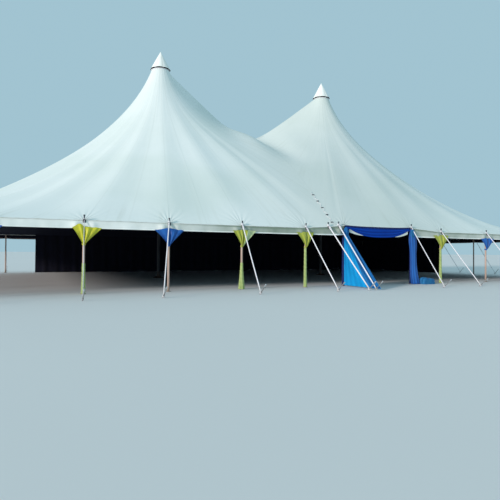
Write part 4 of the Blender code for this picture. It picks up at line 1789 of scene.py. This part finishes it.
    def build(self) -> None:
        """Make this side's pieces."""
        self.belt()
        self.valances()
        self.pins()
        self.plates()
        self.ropes()
        self.stakes()


@dataclass
class Scarf:
    """A satin scarf, hung over the valance and tied round a front pole."""

    finishes: Finishes
    number: int
    x: float
    finish: Material
    slot: str
    left: float = 0.52
    right: float = 0.52
    corner: float = 0.0
    corner_at: float = -0.55
    pale_from: float = 2.0
    high: float = 2.30
    folds: float = 3.4
    fuller: float = 1.25

    def fan(self) -> None:
        """The fan of folds from the valance down to the knot."""
        p = PLAN
        shade_and_wear = float(np.interp(self.x, p.shade_and_wear_at, p.shade_and_wear))
        face = p.belt_face - 0.015 - 0.10 * max(0.0, 1 - shade_and_wear)
        knot = -p.half_width - p.pole_radius - 0.012
        rng = np.random.default_rng(40 + self.number)
        phase, skew = rng.uniform(*PHASES), rng.uniform(-0.02, 0.12)
        v, u = np.meshgrid(np.linspace(0, 1, 23), np.linspace(-1, 1, 73), indexing="ij")
        low = p.scarf_low + 0.02
        half = np.where(u < 0, self.left, self.right)
        spread = p.pole_radius * 1.05 + (half - p.pole_radius) * v**1.12
        turn = (u + 0.14 * np.sin(2.6 * u + phase)) * math.pi * self.folds + phase
        pleat, fine = crest(turn), crest(2.7 * turn + 1.0)
        crease = hump(u - skew, 0.09)
        full = np.sin(math.pi * np.minimum(1, v * 0.85 + 0.12))
        depth = 0.010 + (0.040 * pleat + 0.008 * fine) * (0.3 + 0.7 * full)
        depth = depth + 0.035 * full * (1 - u * u) - 0.045 * crease * full
        top = self.high - 0.025 * u * u + 0.006 * np.cos(turn)
        top = top + self.corner * hump(u - self.corner_at, 0.36)
        z = low + (top - low) * v
        y = knot + (face - knot) * np.minimum(1.0, v * 1.5) - np.maximum(depth, 0.004)
        spots = np.stack([self.x + spread * u, y, z], 2)
        shade = (1 - pleat) * 0.45 + 0.12 * fine + 0.75 * crease * (1.2 - v) + 0.15 * (1 - v)
        piece = woven(f"scarf_{self.number}", spots, np.clip(shade, 0, 1), face=Side.FRONT.out)
        if self.pale_from < 1:
            for _ in range(2):
                piece.data.materials.append(None)
            for k, part in enumerate(piece.data.polygons):
                part.material_index = int(u[0, k % 72] > self.pale_from)
        make_up(piece, self.slot, [self.finish, self.finishes.pale], f"pole_scarf_{self.number}")

    @property
    def pole(self) -> str:
        """The front pole that carries the scarf."""
        return f"front_pole_{self.number + 1}"

    def knot(self) -> None:
        """The band that ties the scarf to the pole."""
        p = PLAN
        turn = ring_angles(28)
        rows, folds = [], []
        for v in np.linspace(0, 1, 9):
            ruck = np.sin(turn * 5 + v * 7)
            radius = p.pole_radius + 0.008 + 0.012 * math.sin(math.pi * v) + 0.004 * ruck
            z = p.scarf_low - 0.02 + 0.07 * v + 0.010 * np.sin(turn)
            rows.append(ring((self.x, -p.half_width), radius, radius, z, turn))
            # Painted shade that follows the rucks.
            folds.append(0.4 + 0.4 * ruck)
        band = woven(f"scarf_band_{self.number}", np.array(rows), np.array(folds), closed=True)
        make_up(band, self.slot, [self.finish])

    def build(self) -> None:
        """Make the scarf."""
        self.fan()
        self.knot()


@dataclass
class PoleWrap:
    """Cloth wound round the lower part of a front pole, or up a whole entrance post."""

    name: str
    pole: str
    x: float
    high: float
    finish: Material
    slot: str = "yellow_satin"
    foot_radius: float = 0.065
    top_radius: float = 0.050
    low: float = 0.014
    winding: float = 0.17
    thickness: float = 0.004

    def build(self) -> None:
        """Make the wrap, with its windings as slanting ridges that loosen towards its foot."""
        turn = ring_angles(36)
        count = max(12, int((self.high - self.low) / 0.03))
        rows, folds = [], []
        for v in np.linspace(0, 1, count + 1):
            z = self.low + (self.high - self.low) * v
            wind = (z / self.winding + turn / FULL_TURN) % 1.0
            loose, ruck = (1 - v) ** 1.3, np.sin(turn * 7 + v * 2)
            radius = self.top_radius + 0.006 * wind + (self.foot_radius - self.top_radius) * loose
            radius = radius + 0.16 * self.foot_radius * loose * ruck
            rows.append(ring((self.x, -PLAN.half_width), radius, radius, z, turn))
            # Painted shade along each winding and in the rucks at the loose foot.
            folds.append(np.clip((1 - wind) * 0.6 + 0.4 * loose * (0.5 - 0.5 * ruck), 0, 1))
        piece = woven(self.name, np.array(rows), np.array(folds), closed=True)
        make_up(piece, self.slot, [self.finish], thickness=self.thickness)


@dataclass
class FrontCloth:
    """The scarves at the front poles, and the cloth wound round poles and entrance posts."""

    finishes: Finishes
    blue: tuple[int, ...] = (1, 3, 7)
    yellow: tuple[int, ...] = (2,)
    shapes: dict[int, dict[str, float]] = field(default_factory=lambda: {
        2: {"left": 0.40, "right": 0.57, "corner": 0.11, "corner_at": -0.45},
        3: {"left": 0.58, "right": 0.53, "corner": 0.05, "corner_at": -0.05},
        4: {"left": 0.44, "right": 0.58, "pale_from": 0.36, "high": 2.36},
        5: {"left": 0.52, "right": 0.36, "high": 2.36},
        6: {"left": 0.62, "right": 0.42, "high": 2.40},
    })
    wraps: dict[int, Pair] = field(default_factory=lambda: {
        4: (1.06, 0.115),
        5: (1.66, 0.065),
        6: (1.66, 0.065),
    })
    usual_wrap: Pair = (1.06, 0.065)
    sleeve_high: float = 2.56
    sleeve_radii: Pair = (0.060, 0.052)

    def build(self) -> None:
        """Make the scarves from left to right, the yellow and olive ones each with its pole's wrap, and the
        posts' sleeves.
        """
        cloths = self.finishes
        for number, x in enumerate(PLAN.left_poles[1:] + PLAN.right_poles[:-1], start=1):
            shape = self.shapes.get(number, {})
            if number in self.blue:
                Scarf(cloths, number, x, cloths.blue, "blue_satin", **shape).build()
                continue
            finish = cloths.yellow if number in self.yellow else cloths.olive
            Scarf(cloths, number, x, finish, "yellow_satin", **shape).build()
            high, foot = self.wraps.get(number, self.usual_wrap)
            name, pole = f"pole_wrap_{number}", f"front_pole_{number + 1}"
            PoleWrap(name, pole, x, high, cloths.lime, foot_radius=foot).build()
        for x, label in ((PLAN.post_left, "left"), (PLAN.post_right, "right")):
            name, post = f"entrance_sleeve_{label}", f"entrance_post_{label}"
            PoleWrap(name, post, x, self.sleeve_high, cloths.navy, "blue_satin", *self.sleeve_radii).build()


@dataclass
class Entrance:
    """The entrance's blue cloth: swag, wing, drape and the bunches at the post tops."""

    finishes: Finishes
    reach: float = 1.88
    end_drop: float = 0.14
    middle_drop: float = 0.50
    wing_pleats: int = 5
    wing_reach: float = 2.42
    drape_pleats: int = 8
    drape_top: float = 2.62
    pool_at: Pair = (0.77, -0.26)
    pool_height: float = 0.31

    @property
    def middle(self) -> float:
        """The swag's middle."""
        return (PLAN.post_left + PLAN.post_right) / 2 - 0.06

    def swag_drop(self, u: float) -> float:
        """How far the swag hangs down, from its left end at -1 to its right end at 1."""
        power = 2.4 if u < 0 else 3.2
        return self.end_drop + (self.middle_drop - self.end_drop) * (1 - abs(u) ** power)

    def swag(self) -> None:
        """The royal blue swag."""
        face, top = PLAN.belt_face - 0.004, PLAN.eave + PLAN.lift
        spots, folds = np.zeros((25, 61, 3)), np.zeros((25, 61))
        for i, v in enumerate(np.linspace(0, 1, 25)):
            for j, u in enumerate(np.linspace(-1, 1, 61)):
                ridge = 0.5 + 0.5 * math.sin(v * 3.4 * FULL_TURN + 1.6 * u * u + 0.5 * math.sin(4 * u))
                depth = 0.012 + 0.035 * ridge * min(1.0, v * 3) * (1 - 0.5 * u * u)
                sag = 0.006 * (1 - u * u) * math.sin(math.pi * v)
                z = top - 0.035 - (self.swag_drop(u) - 0.035) * v - sag
                spots[i, j] = (self.middle + self.reach * u, face - depth, z)
                # Painted shade in the hollows between the ridges, with broad bands across.
                folds[i, j] = (1 - ridge) * 0.6 + 0.25 * abs(math.sin(3.3 * u + 0.6))
        piece = woven("entrance_swag_cloth", spots, folds, face=Side.FRONT.out)
        make_up(piece, "blue_satin", [self.finishes.royal], "entrance_swag")

    def heading(self) -> None:
        """The navy heading above the swag."""
        face, top = PLAN.belt_face - 0.004, PLAN.eave + PLAN.lift
        line = np.linspace(-1, 1, 61)
        ruck = np.sin(line * 60)
        x = self.middle + (self.reach + 0.06) * line
        rows, folds = [], []
        for v in np.linspace(0, 1, 7):
            bulge = 0.012 + 0.022 * math.sin(math.pi * v)
            z = top + 0.015 - 0.085 * v - 0.045 * (1 - line**2)
            rows.append(np.stack([x, face - bulge - 0.004 * ruck, z], 1))
            # Painted shade that follows the rucks.
            folds.append(0.4 + 0.3 * ruck)
        piece = woven("entrance_heading", np.array(rows), np.array(folds), face=Side.FRONT.out)
        make_up(piece, "blue_satin", [self.finishes.navy])

    def liners(self) -> None:
        """The white tails that show under both ends of the swag."""
        p = PLAN
        face = p.belt_face - 0.052
        for side, label in ((-1, "left"), (1, "right")):
            spots, folds = np.zeros((9, 25, 3)), np.zeros((9, 25))
            for i, v in enumerate(np.linspace(0, 1, 9)):
                for j, w in enumerate(np.linspace(0, 1, 25)):
                    u = side * (0.92 - 0.42 * w)
                    edge = p.eave + p.lift - self.swag_drop(u)
                    pleat = crest(v * 8 + w * 3)
                    z = edge + max(0.06, (1 - w) ** 0.7) * (0.05 - 0.14 * v)
                    spots[i, j] = (self.middle + self.reach * u, face - 0.010 * pleat, z)
                    # Painted shade in the hollows of the pleats.
                    folds[i, j] = 0.25 + 0.4 * (1 - pleat)
            piece = woven(f"swag_tail_{label}", spots, folds, face=Side.FRONT.out)
            make_up(piece, "canopy_pvc", [self.finishes.trim], thickness=THIN_THICKNESS)

    def wing(self) -> None:
        """The wing wall: bright cloth by the post, and a darker band along its slanting edge."""
        p = PLAN
        inner = -p.half_width - p.pole_radius - 0.001
        top = Vector((p.post_left, inner, p.eave + p.lift - 0.09))
        foot_near, foot_far = inner - 0.02, inner - self.wing_reach
        parts = (
            ("entrance_wing_cloth", "entrance_wing", 0.0, 0.72, self.finishes.cyan, 0.016, 0.0),
            ("entrance_wing_band", "", 0.64, 1.0, self.finishes.azure, 0.020, -0.012),
        )
        for name, node, start, end, finish, deep, offset in parts:
            spots, folds = np.zeros((25, 41, 3)), np.zeros((25, 41))
            for i, v in enumerate(np.linspace(0.02, 1, 25)):
                for j, w in enumerate(np.linspace(0, 1, 41)):
                    u = start + (end - start) * w
                    foot = Vector((p.post_left, foot_near + (foot_far - foot_near) * u, 0.05))
                    point = top.lerp(foot, v)
                    pleat = crest(w * FULL_TURN * self.wing_pleats + 0.8 * math.sin(v * 3))
                    point.x += offset - deep * (pleat - 0.5) * math.sin(math.pi * min(1.0, v * 0.7 + 0.12))
                    spots[i, j] = point
                    # Painted shade in the hollows of the pleats, darker towards the top.
                    folds[i, j] = (1 - pleat) * 0.5 + 0.6 * (1 - v) ** 1.3
            piece = woven(name, spots, folds, face=Side.LEFT.out)
            make_up(piece, "cyan_cloth", [finish], node)

    def drape(self) -> None:
        """The gathered drape down the right post, and its end bunched on the ground."""
        p = PLAN
        x0, near = p.post_right, -p.half_width - p.pole_radius
        heights = [0.02, 0.12, 0.45, 0.9, 1.5, 1.80, 2.05, 2.35, 2.62]
        half_widths = [0.28, 0.27, 0.24, 0.20, 0.19, 0.23, 0.25, 0.21, 0.10]
        shifts = [0.14, 0.13, 0.09, 0.05, 0.03, 0.01, -0.02, -0.03, -0.04]
        turn = ring_angles(72)
        edge = np.clip(np.abs(np.cos(turn + 0.35)) - 0.55, 0, 1)
        rows, folds = [], []
        for z in np.linspace(0.02, self.drape_top, 40)[::-1]:
            wide = np.interp(z, heights, half_widths)
            deep = 0.035 + wide * 0.30
            pleat = crest(turn * self.drape_pleats + 0.8 * math.sin(z * 2.3))
            scale = 1 - 0.24 * (1 - pleat)
            middle = (x0 + np.interp(z, heights, shifts), near - deep - 0.004)
            rows.append(ring(middle, wide * scale, deep * scale, z, turn))
            # Painted shade in the hollows of the pleats, and darker along both edges.
            folds.append(np.clip(0.50 * (1 - pleat) + 1.5 * edge, 0, 1))
        piece = woven("entrance_drape_cloth", np.array(rows), np.array(folds), closed=True)
        make_up(piece, "blue_satin", [self.finishes.blue], "entrance_drape")
        self.pool(x0 + self.pool_at[0], near + self.pool_at[1])

    def pool(self, x: float, y: float) -> None:
        """The drape's end, bunched on the ground.

        Args:
            x: Its middle along the front.
            y: Its middle across the front.
        """
        turn = ring_angles(72)
        rows, folds = [], []
        box = (np.abs(np.cos(turn)) ** 4 + np.abs(np.sin(turn)) ** 4) ** -0.25
        for share in np.linspace(1.0, 0.02, 18):
            swirl = np.sin(turn * 7 + share * 9) * 0.5 + np.sin(turn * 12 - share * 6) * 0.3
            rim = box * (1 + 0.05 * np.sin(turn * 5 + 1) * share)
            rise = 1 - max(0.0, share - 0.62) / 0.38
            z = 0.006 + self.pool_height * rise**0.8 * (0.90 + 0.10 * np.cos(turn - 2.6))
            z = np.maximum(z + 0.022 * swirl * math.sin(math.pi * share), 0.005)
            spread = 0.37 * min(1.0, share / 0.72) + 0.10 * max(0.0, share - 0.72)
            rows.append(ring((x, y), spread * rim, spread * 0.55 * rim, z, turn))
            # Painted shade in the hollows of the swirls.
            folds.append(np.clip(0.5 - 0.5 * swirl, 0, 1))
        piece = woven("drape_end_cloth", np.array(rows), np.array(folds), closed=True)
        make_up(piece, "blue_satin", [self.finishes.sky])

    def bunches(self) -> None:
        """The gathered bunches of cloth at both post tops."""
        p = PLAN
        turn = ring_angles(56)
        tops = ((p.post_left, "left", self.finishes.azure), (p.post_right - 0.06, "right", self.finishes.sky))
        for x, label, finish in tops:
            rows, folds = [], []
            for v in np.linspace(0, 1, 12):
                pleat = crest(turn * 8 + 2 * v)
                radius = 0.04 + 0.10 * math.sin(math.pi * min(1.0, v * 0.8 + 0.05))
                radius = radius * (1 - 0.25 * (1 - pleat))
                middle = (x, -p.half_width - p.belt_width - 0.10)
                rows.append(ring(middle, radius, 0.6 * radius, p.eave + p.lift - 0.08 - 0.42 * v, turn))
                # Painted shade in the hollows of the pleats.
                folds.append(1 - pleat)
            piece = woven(f"entrance_bunch_{label}", np.array(rows), np.array(folds), closed=True)
            make_up(piece, "blue_satin", [finish])

    def build(self) -> None:
        """Make the entrance's pieces."""
        self.swag()
        self.heading()
        self.liners()
        self.wing()
        self.drape()
        self.bunches()


@dataclass
class SideWall:
    """A dark side wall, hung in folds on the rope inside the poles; its near-black cloth is partly painted
    shade for the dark inside.
    """

    finishes: Finishes
    side: Side
    start: float
    end: float
    node: str
    rests_on: list[str]
    skirt: float = 0.10
    step: float = 0.055
    depth: float = 0.042
    over_foot: float = 0.020
    foot_reach: float = 0.12

    def build(self) -> None:
        """Make the wall, with a skirt that lies on the ground and over the poles' feet."""
        p = PLAN
        line = np.linspace(self.start, self.end, int((self.end - self.start) / self.step))
        rng = np.random.default_rng(7 if self.side is Side.REAR else 8)
        phase = rng.uniform(*PHASES, 3)
        pleat = 0.5 + 0.28 * np.sin(line * 9.3 + phase[0]) + 0.16 * np.sin(line * 15.7 + phase[1])
        pleat = pleat + 0.06 * np.sin(line * 2.1 + phase[2])
        away = np.abs(line[:, None] - np.array(p.poles(self.side))).min(1)
        feet = self.over_foot * hump(away, self.foot_reach, 4)
        rows, folds = [], []
        for z in (2.545, 2.48, 2.40, 2.30, 2.1, 1.6, 1.0, 0.5, 0.12, 0.03, 0.004):
            loose = 0.35 if z > 2.2 else 0.7 + 0.3 * (1 - z / 2.2)
            out = -p.pole_radius - p.gap - 0.004 - self.depth * pleat * loose
            if z < 0.01:
                out = out - self.skirt
            rows.append(p.row(self.side, line, out, np.maximum(z, feet)))
            # Painted shade that follows the pleats.
            folds.append(pleat)
        piece = woven(f"{self.node}_cloth", np.array(rows), np.array(folds), face=-self.side.out)
        make_up(piece, "dark_cloth", [self.finishes.dark], self.node)


@dataclass
class Poles:
    """The CAD nodes that stay: king poles, crown rings, side poles and entrance posts."""

    finishes: Finishes
    steel: tuple[str, ...] = ("king_pole", "crown_ring")
    wooden: tuple[str, ...] = ("front_pole", "entrance_post", "rear_poles", "left_poles", "right_poles")

    def build(self) -> None:
        """Give each its material."""
        for name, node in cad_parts.items():
            if not name.startswith(self.steel + self.wooden):
                continue
            # King poles and crown rings get the near-black steel, which is painted shade.
            finish = self.finishes.painted if name.startswith(self.steel) else self.finishes.wood
            node.data.materials.clear()
            node.data.materials.append(finish)
            LOG.info("%s: %s", name, finish.name)


@dataclass
class Studio:
    """The floor, the light and the camera."""

    lens: float = 33.31
    place: Triple = (-12.31, -25.77, 1.48)
    yaw: float = math.radians(25.43)
    pitch: float = math.radians(1.01)
    roll: float = math.radians(0.40)
    shift: Pair = (0.009, -0.012)
    sky: Colour = (0.36, 0.55, 0.64)
    sun: Triple = (0.914, 0.297, -0.276)
    sun_energy: float = 2.9
    sun_spread: float = 9.0
    sun_colour: Colour = (1.0, 0.88, 0.83)

    def camera(self) -> None:
        """The camera at the photo's viewing angle."""
        level = math.cos(self.pitch)
        ahead = Vector((math.sin(self.yaw) * level, math.cos(self.yaw) * level, math.sin(self.pitch)))
        right = Vector((math.cos(self.yaw), -math.sin(self.yaw), 0))
        up = right.cross(ahead)
        across = right * math.cos(self.roll) + up * math.sin(self.roll)
        over = up * math.cos(self.roll) - right * math.sin(self.roll)
        data = bpy.data.cameras.new("camera")
        data.lens, data.sensor_width = self.lens, 36.0
        data.shift_x, data.shift_y = self.shift
        data.clip_end = 2000.0
        camera = bpy.data.objects.new("camera", data)
        turn = Matrix((across, over, -ahead)).transposed().to_4x4()
        camera.matrix_world = Matrix.Translation(self.place) @ turn
        bpy.context.scene.collection.objects.link(camera)
        bpy.context.scene.camera = camera

    def lamp(self) -> None:
        """The soft sun."""
        data = bpy.data.lights.new("key", "SUN")
        data.energy, data.angle, data.color = self.sun_energy, math.radians(self.sun_spread), self.sun_colour
        lamp = bpy.data.objects.new("key", data)
        lamp.rotation_mode = "QUATERNION"
        lamp.rotation_quaternion = Vector(self.sun).to_track_quat("-Z", "Y")
        lamp.location = (0, 0, 30)
        bpy.context.scene.collection.objects.link(lamp)

    def build(self) -> None:
        """Set the stage."""
        bpy.context.scene.view_settings.view_transform = "Standard"
        deselect()
        bpy.ops.mesh.primitive_plane_add(size=1200, location=(0, 0, -0.001))
        floor = settle(bpy.context.object)
        floor.name = "floor"
        floor.data.materials.append(FloorFinish().build())
        world = bpy.data.worlds.new("studio")
        world.use_nodes = True
        background = world.node_tree.nodes["Background"]
        background.inputs["Color"].default_value = (*self.sky, 1.0)
        background.inputs["Strength"].default_value = 1.0
        bpy.context.scene.world = world
        self.lamp()
        self.camera()


def main() -> None:
    """Build the tent's looks from the ground up."""
    logging.basicConfig(level=logging.INFO, format="%(message)s")
    finishes = Finishes()
    Poles(finishes).build()
    Canopy(finishes).build()
    for side in (-1, 1):
        Crown(finishes, side).build()
    for side in Side:
        Eave(finishes, side).build()
    FrontCloth(finishes).build()
    Entrance(finishes).build()
    inset = PLAN.pole_radius + PLAN.gap
    rear = ["rear_poles_left", "rear_poles_right"]
    end = PLAN.half_length - inset - PLAN.wall_end
    SideWall(finishes, Side.REAR, PLAN.rear_wall_start, end, "rear_wall", rear).build()
    end = PLAN.half_width - inset - PLAN.wall_end
    SideWall(finishes, Side.RIGHT, PLAN.right_wall_start, end, "right_wall", ["right_poles"]).build()
    Studio().build()


if __name__ == "__main__":
    main()
